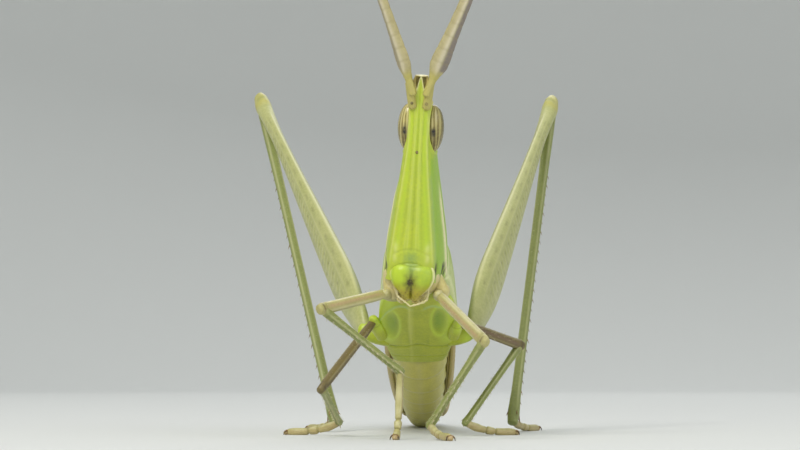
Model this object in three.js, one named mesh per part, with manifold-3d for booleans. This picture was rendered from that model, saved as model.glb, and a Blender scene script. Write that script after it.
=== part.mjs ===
// A female cone-headed grasshopper (genus Acrida) at life size, standing on a flat floor, front raised.
// Millimetres, +Z up, the floor at z = 0. The animal faces -Y, so its own left side is +X.
// The hard outer shell is parted where a person would name its parts: head, eyes, feelers, mouth, pronotum,
// thorax, abdomen, egg-laying valves, forewings, and four pieces for each of the six legs.
import * as THREE from "three";
import { mergeVertices } from "three/addons/utils/BufferGeometryUtils.js";
import Module from "manifold-3d";

const wasm = await Module();
wasm.setup();

// ---------------------------------------------------------------- driving dimensions
const GAP = 0.1; // free space left between neighbouring pieces
const TURN = Math.PI / 180;

// trunk: its underside runs straight at the body's pitch, then bends until it lies along the floor
const PITCH = 26 * TURN;
const MOUTH_HEIGHT = 11; // lowest point of the upper lip above the floor
const BREAST_STEP = 1.5; // the breast lies this far above the mouth, across the body
const STRAIGHT = 10; // length of the stiff front part
const FOOT_FLAT = 0.08; // depth of the small flats that rest on the floor
const THORAX_END = 14.4;
const ABDOMEN_END = 48.6;

// head
const FACE_LENGTH = 17.7; // upper lip to the tip of the crown
const FACE_SLOPE = 78 * TURN; // face line above the horizontal
const HEAD_YAW = 6.5 * TURN;
const HEAD_ROLL = 3.6 * TURN;
const OCCIPUT = { s: 3.5, h: 6.5 }; // crown's rear end, in trunk coordinates
const TIP_DEPTH = 0.75;
const EYE = { t: 0.27, x: 0.98, half: [0.86, 1.08, 1.92] }; // place down the face, sideways, half sizes

// feelers, wings and legs
const FEELER_LENGTH = 22;
const WING_THICK = 0.5;
const WING_START = 9;
const WING_END = 55.5;

const V = (x, y, z) => new THREE.Vector3(x, y, z);
const mix = (a, b, t) => a + (b - a) * t;

// ---------------------------------------------------------------- shapes and solids
// A value that runs smoothly through a few [place, value] pairs.
function profile(pairs, at) {
  const last = pairs.length - 1;
  if (at <= pairs[0][0]) return pairs[0][1];
  if (at >= pairs[last][0]) return pairs[last][1];
  const i = pairs.findIndex(([place]) => at <= place);
  const slope = (j, k) => (pairs[k][1] - pairs[j][1]) / (pairs[k][0] - pairs[j][0]);
  const [[a, start], [b, end]] = [pairs[i - 1], pairs[i]];
  const t = (at - a) / (b - a);
  const leave = (b - a) * slope(Math.max(i - 2, 0), i);
  const arrive = (b - a) * slope(i - 1, Math.min(i + 1, last));
  const ease = t * t * (3 - 2 * t);
  return mix(start, end, ease) + t * (1 - t) * ((1 - t) * leave - t * arrive);
}

// A point of a rounded box outline: power 2 is an ellipse, more is boxier.
function roundedPoint(angle, halfWidth, halfHeight, power) {
  const c = Math.cos(angle);
  const s = Math.sin(angle);
  return [
    halfWidth * Math.sign(c) * Math.abs(c) ** (2 / power),
    halfHeight * Math.sign(s) * Math.abs(s) ** (2 / power),
  ];
}

// Closed skin over rings of points, with a fan on each end.
function skinOver(rings) {
  const n = rings[0].length;
  const points = rings.flat();
  const faces = [];
  for (let i = 0; i < rings.length - 1; i++)
    for (let j = 0; j < n; j++) {
      const a = i * n + j;
      const b = i * n + ((j + 1) % n);
      faces.push(a, b, b + n, a, b + n, a + n);
    }
  for (const [ring, turned] of [[0, true], [rings.length - 1, false]]) {
    const middle = points.length;
    points.push(rings[ring].reduce((sum, p) => sum.add(p), V(0, 0, 0)).divideScalar(n));
    for (let j = 0; j < n; j++) {
      const a = ring * n + j;
      const b = ring * n + ((j + 1) % n);
      faces.push(...(turned ? [middle, b, a] : [middle, a, b]));
    }
  }
  const geometry = new THREE.BufferGeometry().setFromPoints(points);
  geometry.setIndex(faces);
  return facingOut(geometry);
}

// The geometry with its faces turned so that it holds a positive volume.
function facingOut(geometry) {
  const p = geometry.getAttribute("position");
  const index = geometry.index.array;
  let volume = 0;
  for (let i = 0; i < index.length; i += 3) {
    const [a, b, c] = [0, 1, 2].map((k) => new THREE.Vector3().fromBufferAttribute(p, index[i + k]));
    volume += a.dot(b.cross(c));
  }
  if (volume < 0)
    for (let i = 0; i < index.length; i += 3) [index[i + 1], index[i + 2]] = [index[i + 2], index[i + 1]];
  return geometry;
}

function toSolid(geometry) {
  const bare = geometry.clone();
  bare.deleteAttribute("normal");
  bare.deleteAttribute("uv");
  const merged = mergeVertices(bare, 1e-4);
  const vertProperties = new Float32Array(merged.attributes.position.array);
  const triVerts = new Uint32Array(merged.index.array);
  return new wasm.Manifold(new wasm.Mesh({ numProp: 3, vertProperties, triVerts }));
}

function toGeometry(solid) {
  const mesh = solid.getMesh();
  const geometry = new THREE.BufferGeometry();
  const places = new Float32Array(mesh.numVert * 3);
  for (let i = 0; i < mesh.numVert; i++)
    places.set(mesh.vertProperties.subarray(i * mesh.numProp, i * mesh.numProp + 3), i * 3);
  geometry.setAttribute("position", new THREE.BufferAttribute(places, 3));
  geometry.setIndex(new THREE.BufferAttribute(mesh.triVerts, 1));
  return geometry;
}

// Everything on the far side of a plane, as a big block: what lies behind it along the normal.
function blockBehind(point, normal) {
  const size = 200;
  const block = new THREE.BoxGeometry(size, size, size);
  block.translate(0, 0, -size / 2);
  block.applyQuaternion(new THREE.Quaternion().setFromUnitVectors(V(0, 0, 1), normal.clone().normalize()));
  block.translate(point.x, point.y, point.z);
  return toSolid(block);
}

// The biggest piece of a cut solid.
const biggest = (solid) => solid.decompose().sort((a, b) => b.volume() - a.volume())[0];

const floorBlock = () => blockBehind(V(0, 0, 0), V(0, 0, 1));

// ---------------------------------------------------------------- the trunk's bent space
// Trunk coordinates: w sideways, s back along the underside, h up across the body.
const BREAST = V(0, BREAST_STEP * Math.sin(PITCH), MOUTH_HEIGHT + BREAST_STEP * Math.cos(PITCH));
const BEND_RADIUS = (BREAST.z + FOOT_FLAT - STRAIGHT * Math.sin(PITCH)) / (1 - Math.cos(PITCH));

function trunkPoint(w, s, h) {
  const straight = Math.min(s, STRAIGHT);
  let slope = PITCH;
  let y = BREAST.y + straight * Math.cos(PITCH);
  let z = BREAST.z - straight * Math.sin(PITCH);
  if (s > STRAIGHT) {
    const flatAt = STRAIGHT + BEND_RADIUS * PITCH;
    slope = Math.max(0, PITCH - (s - STRAIGHT) / BEND_RADIUS);
    y += BEND_RADIUS * (Math.sin(PITCH) - Math.sin(slope)) + Math.max(0, s - flatAt);
    z -= BEND_RADIUS * (Math.cos(slope) - Math.cos(PITCH));
  }
  return V(w, y + h * Math.sin(slope), z + h * Math.cos(slope));
}

// The geometry of a solid in trunk coordinates, bent into place.
function bendIntoPlace(solid) {
  const geometry = toGeometry(solid);
  const p = geometry.getAttribute("position");
  for (let i = 0; i < p.count; i++) {
    const at = trunkPoint(p.getX(i), p.getY(i), p.getZ(i));
    p.setXYZ(i, at.x, at.y, at.z);
  }
  return geometry;
}

// Half width and height of the trunk at s, and how far its sides lean in towards the back.
const TRUNK_WIDTH = [
  [-2, 1.8], [1, 2.1], [5, 2.55], [9.5, 2.8], [14.4, 2.7], [24, 2.5], [36, 2.05], [45, 1.5], [50, 1.1],
  [56, 0.5],
];
const TRUNK_HEIGHT = [
  [-2, 6.2], [3, 6.3], [9, 6.7], [14.4, 6.6], [24, 6], [36, 4.6], [45, 3.1], [50, 2.3], [56, 1.6],
];
const TRUNK_LEAN = [[0, 0.12], [14, 0.18], [30, 0.34], [50, 0.3]];
const SIDES = 20;

// A point of the trunk's skin in trunk coordinates; the angle runs from 0 at the left side over the back.
function trunkSkin(s, angle, grow, boxiness) {
  const half = profile(TRUNK_HEIGHT, s) / 2;
  const [x, z] = roundedPoint(angle, profile(TRUNK_WIDTH, s) + grow, half + grow, boxiness);
  return V(x * (1 - profile(TRUNK_LEAN, s) * (z / half + 1) * 0.5), s, half + z);
}

const trunkRing = (s, grow, boxiness, count = SIDES) =>
  Array.from({ length: count }, (_, j) => trunkSkin(s, ((j + 0.5) / count) * 2 * Math.PI, grow, boxiness));

function trunkLoft(from, to, steps, grow = 0, boxiness = 2.4) {
  const ring = (_, i) => trunkRing(mix(from, to, i / steps), grow, boxiness);
  return skinOver(Array.from({ length: steps + 1 }, ring));
}

// The breast plate: a broad shield under the thorax, between the coxae.
const BREAST_WIDTH = [
  [1.2, 1.3], [2.4, 2.35], [4, 2.95], [7, 3.2], [10, 3], [13.2, 2.5], [14.4, 2.2],
];
const BREAST_RISE = [-0.05, 0.93];

function breastPlate(grow = 0) {
  const [low, high] = BREAST_RISE;
  const steps = 6;
  const rings = Array.from({ length: steps + 1 }, (_, i) => {
    const s = mix(1.2 - grow, THORAX_END - 0.05 + grow, i / steps);
    return Array.from({ length: 10 }, (_, j) => {
      const angle = ((j + 0.5) / 10) * 2 * Math.PI;
      const [x, z] = roundedPoint(angle, profile(BREAST_WIDTH, s) + grow, (high - low) / 2 + grow, 3);
      return V(x, s, (low + high) / 2 + z);
    });
  });
  return toSolid(skinOver(rings));
}

// ---------------------------------------------------------------- head
// The face and crown lines meet at the tip and part towards the mouth and the occiput.
const MOUTH = V(0, 0, MOUTH_HEIGHT);
const FACE_UP = V(0, -Math.cos(FACE_SLOPE), Math.sin(FACE_SLOPE));
const FACE_BACK = V(0, Math.sin(FACE_SLOPE), Math.cos(FACE_SLOPE));
const TIP = MOUTH.clone().addScaledVector(FACE_UP, FACE_LENGTH);
const CROWN_TIP = TIP.clone().addScaledVector(FACE_BACK, TIP_DEPTH);
const CROWN_END = trunkPoint(0, OCCIPUT.s, OCCIPUT.h);
const NECK = MOUTH.clone().lerp(CROWN_END, 0.5);
const HEAD_TURN = new THREE.Matrix4()
  .makeTranslation(NECK.x, NECK.y, NECK.z)
  .multiply(new THREE.Matrix4().makeRotationY(HEAD_ROLL))
  .multiply(new THREE.Matrix4().makeRotationAxis(FACE_UP, -HEAD_YAW))
  .multiply(new THREE.Matrix4().makeTranslation(-NECK.x, -NECK.y, -NECK.z));

const HEAD_SIDES = 18;
const HEAD_WIDTH = [
  [0, 0.5], [0.03, 0.72], [0.1, 0.86], [0.2, 0.86], [0.29, 0.95], [0.38, 1.26], [0.46, 1.43], [0.56, 1.65],
  [0.7, 1.97], [0.84, 2.28], [1, 2.47], [1.1, 2.5],
];

// The head's front point at t, from 0 at the tip to 1 at the mouth, and the way back to the crown.
function headRuler(t) {
  const front = TIP.clone().lerp(MOUTH, t);
  const crown = CROWN_TIP.clone().lerp(CROWN_END, t);
  const bow = 0.35 * Math.sin(Math.PI * Math.min(t, 1)); // the crown is a little arched
  crown.addScaledVector(FACE_BACK, bow);
  return { front, across: crown.sub(front) };
}

function headRing(t, grow) {
  const { front, across } = headRuler(t);
  const width = profile(HEAD_WIDTH, t) + grow;
  const depth = across.length() / 2 + grow;
  const way = across.clone().normalize();
  const middle = front.addScaledVector(across, 0.5);
  return Array.from({ length: HEAD_SIDES }, (_, j) => {
    const angle = ((j + 0.5) / HEAD_SIDES) * 2 * Math.PI;
    const face = Math.sin(angle) < 0; // the face is flatter than the crown
    const [x, d] = roundedPoint(angle, width, depth, face ? 4.2 : 2.1);
    const narrow = 1 - (face ? 0.1 : 0.2) * (d / depth) ** 2;
    return middle.clone().addScaledVector(V(1, 0, 0), x * narrow).addScaledVector(way, d);
  });
}

function headLoft(from, to, steps, grow = 0) {
  const rings = Array.from({ length: steps + 1 }, (_, i) => headRing(mix(from, to, i / steps), grow));
  return toSolid(skinOver(rings).applyMatrix4(HEAD_TURN));
}

// The plane where the head meets the trunk, and the one where the jaws leave the head.
const NECK_NORMAL = V(0, -(CROWN_END.z - MOUTH.z), CROWN_END.y - MOUTH.y).normalize();
const JAW_LINE = 0.923;
const headPoint = (x, t, depth) => {
  const { front, across } = headRuler(t);
  return front.addScaledVector(across.normalize(), depth).add(V(x, 0, 0)).applyMatrix4(HEAD_TURN);
};
const headWay = (v) => v.clone().transformDirection(HEAD_TURN);

function eyeGeometry(side, grow) {
  const eye = new THREE.SphereGeometry(1, 12, 9);
  eye.scale(EYE.half[0] + grow, EYE.half[1] + grow, EYE.half[2] + grow);
  const { front, across } = headRuler(EYE.t);
  const place = front.addScaledVector(across, 0.52);
  eye.rotateX(Math.PI / 2 - FACE_SLOPE + 9 * TURN);
  eye.translate(side * EYE.x, place.y, place.z);
  return eye.applyMatrix4(HEAD_TURN);
}

function makeHead() {
  return headLoft(0, 1.03, 14)
    .subtract(blockBehind(NECK.clone(), NECK_NORMAL))
    .subtract(blockBehind(headPoint(0, JAW_LINE, 0), headWay(FACE_UP)))
    .subtract(toSolid(eyeGeometry(-1, GAP)))
    .subtract(toSolid(eyeGeometry(1, GAP)));
}

// A lump with an oval outline: half sizes sideways, along the face and deep, placed down the face.
function faceLump(x, t, depth, half) {
  const lump = new THREE.SphereGeometry(1, 16, 10);
  lump.scale(half[0], half[2], half[1]);
  lump.rotateX(Math.PI / 2 - FACE_SLOPE);
  const { front, across } = headRuler(t);
  const place = front.addScaledVector(across.normalize(), depth);
  lump.translate(x, place.y, place.z);
  return toSolid(lump.applyMatrix4(HEAD_TURN));
}

const JAWS = { t: 0.95, depth: 2.3, half: [1.95, 1.7, 2.1] };
const LIP = { t: 0.893, depth: 0.72, half: [1.8, 1.95, 0.95] };

const grown = (half) => half.map((size) => size + GAP);

function makeJaws(lipRoom, trunkRoom) {
  const above = blockBehind(headPoint(0, JAW_LINE + 0.008, 0), headWay(FACE_UP).negate());
  return faceLump(0, JAWS.t, JAWS.depth, JAWS.half).subtract(above).subtract(lipRoom).subtract(trunkRoom);
}

// ---------------------------------------------------------------- rods that bend, such as feelers
// A solid along a path, with a half width along wide and a half height across it at each place from 0 to 1.
function rod(path, wide, halfWidth, halfHeight, steps, sides = 8, power = 2) {
  const rings = [];
  for (let i = 0; i <= steps; i++) {
    const t = i / steps;
    const at = path.getPoint(t);
    const along = path.getTangent(t);
    const up = along.clone().cross(wide).normalize();
    const side = up.clone().cross(along).normalize();
    const [a, b] = [halfWidth(t), halfHeight(t)];
    rings.push(Array.from({ length: sides }, (_, j) => {
      const [x, z] = roundedPoint(((j + 0.5) / sides) * 2 * Math.PI, a, b, power);
      return at.clone().addScaledVector(side, x).addScaledVector(up, z);
    }));
  }
  return toSolid(skinOver(rings));
}

// Feelers: flat, sword-shaped blades, widest a little above the root.
const FEELERS = [
  { name: "feeler_right", side: -1, out: 21 * TURN, bow: -0.9, turn: 52 * TURN },
  { name: "feeler_left", side: 1, out: 23.5 * TURN, bow: 0, turn: 28 * TURN },
];
const FEELER_WIDTH = [
  [0, 0.3], [0.05, 0.34], [0.075, 0.5], [0.11, 0.8], [0.14, 0.82], [0.2, 0.7], [0.28, 0.6], [0.45, 0.5],
  [0.8, 0.32], [1, 0.25],
];

function makeFeeler({ side, out, bow, turn }) {
  const root = headPoint(side * 0.52, 0.075, -0.32);
  const reach = V(side * Math.sin(out), -0.1, Math.cos(out)).normalize();
  const end = root.clone().addScaledVector(reach, FEELER_LENGTH);
  const bend = root.clone().lerp(end, 0.5).add(V(side * bow, -0.6, 0));
  const path = new THREE.QuadraticBezierCurve3(root, bend, end);
  const blade = V(Math.cos(turn), side * Math.sin(turn), 0);
  return rod(path, blade, (t) => profile(FEELER_WIDTH, t), (t) => mix(0.33, 0.25, t), 16, 6);
}

// Palps: the short jointed feelers of the mouth, hanging beside the jaws and curling forward under the lip.
function makePalp(side) {
  const path = new THREE.CatmullRomCurve3([
    headPoint(side * 0.8, 0.98, 2),
    headPoint(side * 0.9, 1.035, 1.65),
    headPoint(side * 0.95, 1.065, 1.2),
    headPoint(side * 0.55, 1.06, 0.35),
  ]);
  const girth = (t) => mix(0.34, 0.27, t);
  return rod(path, V(0, 1, 0), girth, girth, 9, 7);
}

// ---------------------------------------------------------------- pronotum, a saddle over the trunk
const PRONOTUM_THICK = 0.55;
const PRONOTUM_SIDE = [
  [1.55, 1.15], [8.7, 1.05], [10.6, 2.1], [12, 4.3], [15.6, 7.6], [15.6, 12], [-4, 12], [-4, 3],
];

// The solid under the pronotum's outline; grow makes room around it at the rear and below.
function pronotumBlock(grow) {
  const outline = new THREE.Shape(PRONOTUM_SIDE.map(([s, h]) => new THREE.Vector2(s + grow, h - grow)));
  const mask = new THREE.ExtrudeGeometry(outline, { depth: 20, bevelEnabled: false });
  // the outline's s and h go to y and z, and its depth goes sideways
  mask.translate(0, 0, -10).applyMatrix4(new THREE.Matrix4().makeBasis(V(0, 1, 0), V(0, 0, 1), V(1, 0, 0)));
  return toSolid(trunkLoft(-3, 16.4, 9, PRONOTUM_THICK + GAP + 3 * grow, 3)).intersect(toSolid(mask));
}

const makePronotum = () => pronotumBlock(0).subtract(toSolid(trunkLoft(-4, 17.4, 10, GAP)));

// ---------------------------------------------------------------- abdomen, in rings that widen rearwards
const SEGMENTS = 9;

function makeAbdomen() {
  const rings = [];
  const length = ABDOMEN_END - THORAX_END - GAP;
  for (let i = 0; i < SEGMENTS; i++)
    for (const [part, swell] of [[0.02, -0.12], [0.98, 0.1]]) {
      const s = THORAX_END + GAP + ((i + part) / SEGMENTS) * length;
      rings.push(trunkRing(s, swell * mix(1, 0.6, i / SEGMENTS), 2.2, 16));
    }
  return toSolid(skinOver(rings));
}

// The valves: two short pairs of horn hooks behind the abdomen.
function makeValves() {
  const place = (s, h) => V(0, s, h);
  const upper = rod(
    new THREE.QuadraticBezierCurve3(place(48, 1.5), place(49.6, 1.5), place(50.4, 2.05)),
    V(1, 0, 0), (t) => mix(0.95, 0.3, t * t), (t) => mix(0.55, 0.25, t), 5, 8);
  const lower = rod(
    new THREE.QuadraticBezierCurve3(place(48, 0.75), place(49.6, 0.75), place(50.3, 0.42)),
    V(1, 0, 0), (t) => mix(0.85, 0.3, t * t), (t) => mix(0.5, 0.25, t), 5, 8);
  const end = new THREE.BoxGeometry(20, 20, 20).translate(0, ABDOMEN_END + GAP - 10, 0);
  return upper.add(lower).subtract(toSolid(end));
}

// ---------------------------------------------------------------- forewings, folded over the abdomen
// Each lies on the trunk's skin from the middle of the back down to its own lower edge, and ends in a point.
const WING_LIFT = GAP + 0.15;
const WING_BOX = 2.3;
const WING_LOW = [[9, 3.9], [14, 2.9], [22, 1.7], [34, 1.35], [46, 1.1], [52, 1.3], [55.5, 1.75]];

// One face of the wing at s, from its top edge to its low edge.
function wingEdge(s, grow, side, count) {
  const half = profile(TRUNK_HEIGHT, s) / 2;
  const rise = (profile(WING_LOW, s) - half) / (half + grow);
  const low = Math.asin(Math.sign(rise) * Math.abs(rise) ** (WING_BOX / 2));
  const high = Math.acos((0.06 / (profile(TRUNK_WIDTH, s) + grow)) ** (WING_BOX / 2));
  return Array.from({ length: count + 1 }, (_, j) => {
    const at = trunkSkin(s, mix(high, low, j / count), grow, WING_BOX);
    return at.setX(side * at.x);
  });
}

function makeWing(side) {
  const steps = 16;
  const rings = Array.from({ length: steps + 1 }, (_, i) => {
    const s = mix(WING_START, WING_END, i / steps);
    const thin = profile([[0, 1], [0.9, 1], [1, 0.6]], i / steps);
    const outer = wingEdge(s, WING_LIFT + WING_THICK * thin, side, 5);
    return [...outer, ...wingEdge(s, WING_LIFT, side, 5).reverse()];
  });
  return toSolid(skinOver(rings));
}

// ---------------------------------------------------------------- legs
// Coxa root and hip are in trunk coordinates. The knee swings round the line from hip to ankle.
// The foot goes out by its own length along the floor, or by its reach where it stands on its tip.
const FORE = { thigh: 8.1, shin: 8.7, foot: 4.6, girth: 1, coxa: 0.62 };
const MIDDLE = { thigh: 8.4, shin: 8.8, foot: 4.8, girth: 1, coxa: 0.66 };
const HIND = { thigh: 39, shin: 37, foot: 6.4, girth: 1.5, coxa: 0.88 };
const LEGS = [
  {
    name: "fore_right", kind: FORE, root: [-1.9, 2.6, 0.2], hip: [-2.45, 0.15, -0.9],
    ankle: [-1.235, -1.731, 5.333], swing: 70.49, toe: [-0.2, -0.98], reach: 1.6,
  },
  {
    name: "fore_left", kind: FORE, root: [1.9, 2.6, 0.2], hip: [1.75, 0.25, -0.95],
    ankle: [1.128, -1.775, 1.1], swing: -51.15, toe: [0.35, -0.94],
  },
  {
    name: "middle_right", kind: MIDDLE, root: [-3.1, 9.2, 0.1], hip: [-3.6, 7, 0.2],
    ankle: [-6.644, 10.325, 1.1], swing: -118.55, toe: [-0.95, 0.3],
  },
  {
    name: "middle_left", kind: MIDDLE, root: [2.95, 9.2, 0.1], hip: [3.25, 7.2, 0.2],
    ankle: [3.936, 9.7, 1.1], swing: 27.73, toe: [0.9, 0.43],
  },
  {
    name: "hind_right", kind: HIND, root: [-2.6, 11.2, 0.9], hip: [-4.5, 11, 1.4],
    ankle: [-7.65, 21.7, 1], swing: -4, toe: [-0.42, 0.9],
  },
  {
    name: "hind_left", kind: HIND, root: [2.6, 11.2, 0.9], hip: [4.5, 11, 1.4],
    ankle: [8.1, 21.4, 1], swing: -4, toe: [0.38, 0.92],
  },
];

// The knee: thigh and shin make a triangle over the line from hip to ankle, swung from upright.
function kneeOf(hip, ankle, thigh, shin, swing) {
  const line = ankle.clone().sub(hip);
  const span = line.length();
  const along = line.normalize();
  const foot = (span * span + thigh * thigh - shin * shin) / (2 * span);
  const rise = Math.sqrt(thigh * thigh - foot * foot);
  const upright = V(0, 0, 1).addScaledVector(along, -along.z).normalize();
  const sideways = along.clone().cross(upright);
  return hip.clone().addScaledVector(along, foot)
    .addScaledVector(upright, rise * Math.cos(swing)).addScaledVector(sideways, rise * Math.sin(swing));
}

// Thigh outlines along the leg: half depth in the leg's plane, and half thickness across it.
const JUMPING_DEPTH = [
  [0, 0.7], [0.04, 1.35], [0.16, 2.1], [0.3, 1.9], [0.6, 1.2], [0.85, 0.78], [0.93, 0.8], [0.97, 1.05],
  [1, 0.75],
];
const JUMPING_THICK = [[0, 0.55], [0.16, 0.9], [0.4, 0.8], [0.8, 0.5], [0.96, 0.75], [1, 0.55]];
const WALKING_DEPTH = [[0, 0.36], [0.15, 0.42], [0.5, 0.44], [0.85, 0.47], [0.95, 0.5], [1, 0.4]];
const WALKING_THICK = [[0, 0.33], [0.2, 0.39], [0.85, 0.38], [1, 0.33]];
const SHIN_DEPTH = [[0, 0.29], [0.05, 0.34], [0.3, 0.28], [0.9, 0.28], [0.97, 0.34], [1, 0.29]];

// A line from one point to another, run on past each end by its own length.
function straightPath(from, to, before, after) {
  const reach = to.clone().sub(from).normalize();
  const start = from.clone().addScaledVector(reach, -before);
  return new THREE.LineCurve3(start, to.clone().addScaledVector(reach, after));
}

function makeThigh(hip, knee, across, kind, grow = 0) {
  const jumping = kind === HIND;
  const steps = jumping ? 16 : 8;
  const [depth, thick] = jumping ? [JUMPING_DEPTH, JUMPING_THICK] : [WALKING_DEPTH, WALKING_THICK];
  const size = jumping ? 1 : kind.girth;
  const wide = (t) => profile(thick, t) * size + grow;
  const high = (t) => profile(depth, t) * size + grow;
  return rod(straightPath(hip, knee, grow, 0.35 + grow), across, wide, high, steps, 8, 1.8);
}

function makeShin(knee, ankle, across, kind, grow = 0) {
  const path = straightPath(knee, ankle, grow, 0.2 + grow);
  const wide = (t) => profile(SHIN_DEPTH, t) * kind.girth + grow;
  return rod(path, across, wide, wide, kind === HIND ? 9 : 7, 8);
}

const FOOT_PADS = [
  [0, 0.29], [0.15, 0.31], [0.3, 0.34], [0.44, 0.29], [0.56, 0.34], [0.68, 0.29], [0.92, 0.34], [1, 0.29],
];

// The foot: down from the ankle and out along the floor, with its pads cut flat at the floor.
function makeFoot(ankle, toe, reach) {
  const way = V(toe[0], toe[1], 0).normalize();
  const rest = 0.32 - FOOT_FLAT;
  const touch = ankle.clone().addScaledVector(way, reach * 0.3).setZ(rest);
  const end = ankle.clone().addScaledVector(way, reach).setZ(rest);
  const path = new THREE.QuadraticBezierCurve3(ankle.clone(), touch, end);
  const pads = (t) => profile(FOOT_PADS, t);
  return rod(path, way.clone().cross(V(0, 0, 1)), pads, pads, 9, 6);
}

function makeCoxa(root, hip, kind, grow) {
  const path = new THREE.LineCurve3(root, root.clone().lerp(hip, 1.12 + grow));
  const wide = (t) => kind.coxa * profile([[0, 1], [0.6, 0.9], [1, 0.75]], t) + grow;
  return rod(path, V(0, 1, 0), wide, wide, 4, 8);
}

// ---------------------------------------------------------------- colours
const PAINT = {
  leaf_green: { color: 0x9cc23c, roughness: 0.5 },
  breast_green: { color: 0x7f9e34, roughness: 0.55 },
  belly_green: { color: 0x8b9a3c, roughness: 0.55 },
  wing_green: { color: 0x93b04a, roughness: 0.5 },
  straw: { color: 0xc9c489, roughness: 0.55 },
  feeler_tan: { color: 0xb8ab7c, roughness: 0.6 },
  eye_amber: { color: 0xa89a5e, roughness: 0.25 },
  thigh_green: { color: 0xbcc272, roughness: 0.5 },
  shin_green: { color: 0x93a855, roughness: 0.5 },
};

// ---------------------------------------------------------------- assembly
const grasshopper = new THREE.Group();

function add(name, geometry, paint) {
  const material = new THREE.MeshStandardMaterial({ name: paint, metalness: 0, ...PAINT[paint] });
  const mesh = new THREE.Mesh(geometry, material);
  mesh.name = name;
  grasshopper.add(mesh);
}

// The same plane in trunk coordinates parts the trunk pieces from the head.
const neckInTrunk = () => {
  const away = V(0, -(OCCIPUT.h + BREAST_STEP), OCCIPUT.s).normalize();
  const along = V(0, 0, -BREAST_STEP).addScaledVector(away, -GAP);
  return blockBehind(along, away.negate());
};

const neckBlock = blockBehind(NECK.clone(), NECK_NORMAL);
const beforeNeck = neckInTrunk();
const lip = faceLump(0, LIP.t, LIP.depth, LIP.half).subtract(neckBlock);
const lipRoom = faceLump(0, LIP.t, LIP.depth, grown(LIP.half));
const mouthRoom = faceLump(0, JAWS.t, JAWS.depth, grown(JAWS.half)).add(lipRoom);
const feelers = FEELERS.map((feeler) => [feeler.name, makeFeeler(feeler)]);
const head = makeHead().subtract(lipRoom);

const bent = (solid) => toSolid(bendIntoPlace(solid));
const pronotumRoom = pronotumBlock(GAP);
const thoraxBlock = (grow) => toSolid(trunkLoft(-2, THORAX_END, 9, grow)).add(breastPlate(grow));
const trunkRoom = bent(thoraxBlock(GAP).add(pronotumRoom).subtract(beforeNeck));
const jaws = makeJaws(lipRoom, trunkRoom);

add("head", toGeometry(head), "leaf_green");
for (const [side, name] of [[-1, "eye_right"], [1, "eye_left"]])
  add(name, toGeometry(toSolid(eyeGeometry(side, 0))), "eye_amber");
for (const [name, feeler] of feelers) add(name, toGeometry(feeler), "feeler_tan");
add("upper_lip", toGeometry(lip), "leaf_green");
add("jaws", toGeometry(jaws), "straw");

for (const [side, name] of [[-1, "palp_right"], [1, "palp_left"]])
  add(name, toGeometry(biggest(makePalp(side).subtract(mouthRoom).subtract(trunkRoom))), "straw");

add("pronotum", bendIntoPlace(makePronotum().subtract(beforeNeck)), "leaf_green");
add("thorax", bendIntoPlace(thoraxBlock(0).subtract(beforeNeck)), "breast_green");
add("abdomen", toGeometry(bent(makeAbdomen()).subtract(floorBlock())), "belly_green");
add("egg_valves", toGeometry(bent(makeValves()).subtract(floorBlock())), "straw");
for (const [side, name] of [[-1, "forewing_right"], [1, "forewing_left"]])
  add(name, bendIntoPlace(biggest(makeWing(side).subtract(pronotumRoom))), "wing_green");

for (const { name, kind, root, hip, ankle, swing, toe, reach = kind.foot } of LEGS) {
  const socket = trunkPoint(...root);
  const joint = trunkPoint(...hip);
  const heel = V(...ankle);
  const knee = kneeOf(joint, heel, kind.thigh, kind.shin, swing * TURN);
  const across = knee.clone().sub(joint).cross(heel.clone().sub(knee)).normalize();
  const coxa = makeCoxa(socket, joint, kind, 0).subtract(trunkRoom).subtract(mouthRoom);
  const thigh = makeThigh(joint, knee, across, kind, 0)
    .subtract(makeCoxa(socket, joint, kind, GAP)).subtract(trunkRoom);
  const shin = makeShin(knee, heel, across, kind, 0).subtract(makeThigh(joint, knee, across, kind, GAP));
  const foot = makeFoot(heel, toe, reach)
    .subtract(makeShin(knee, heel, across, kind, GAP)).subtract(floorBlock());
  add(`coxa_${name}`, toGeometry(biggest(coxa)), "breast_green");
  add(`thigh_${name}`, toGeometry(biggest(thigh)), kind === HIND ? "thigh_green" : "straw");
  add(`shin_${name}`, toGeometry(biggest(shin)), kind === FORE ? "straw" : "shin_green");
  add(`foot_${name}`, toGeometry(biggest(foot)), "straw");
}

// The origin lies on the floor, under the middle of the whole animal.
const box = new THREE.Box3().setFromObject(grasshopper);
const centre = box.getCenter(new THREE.Vector3());
for (const mesh of grasshopper.children) mesh.geometry.translate(-centre.x, -centre.y, -box.min.z);

export default grasshopper;
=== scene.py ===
# A museum model of a female cone-headed grasshopper (genus Acrida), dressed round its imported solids.
# Hard pieces are shaped in millimetres, in the animal's own measures: down the face, along the bent trunk
# and along each leg. Only `framed` turns such places into the frame's metres.
import math

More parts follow.
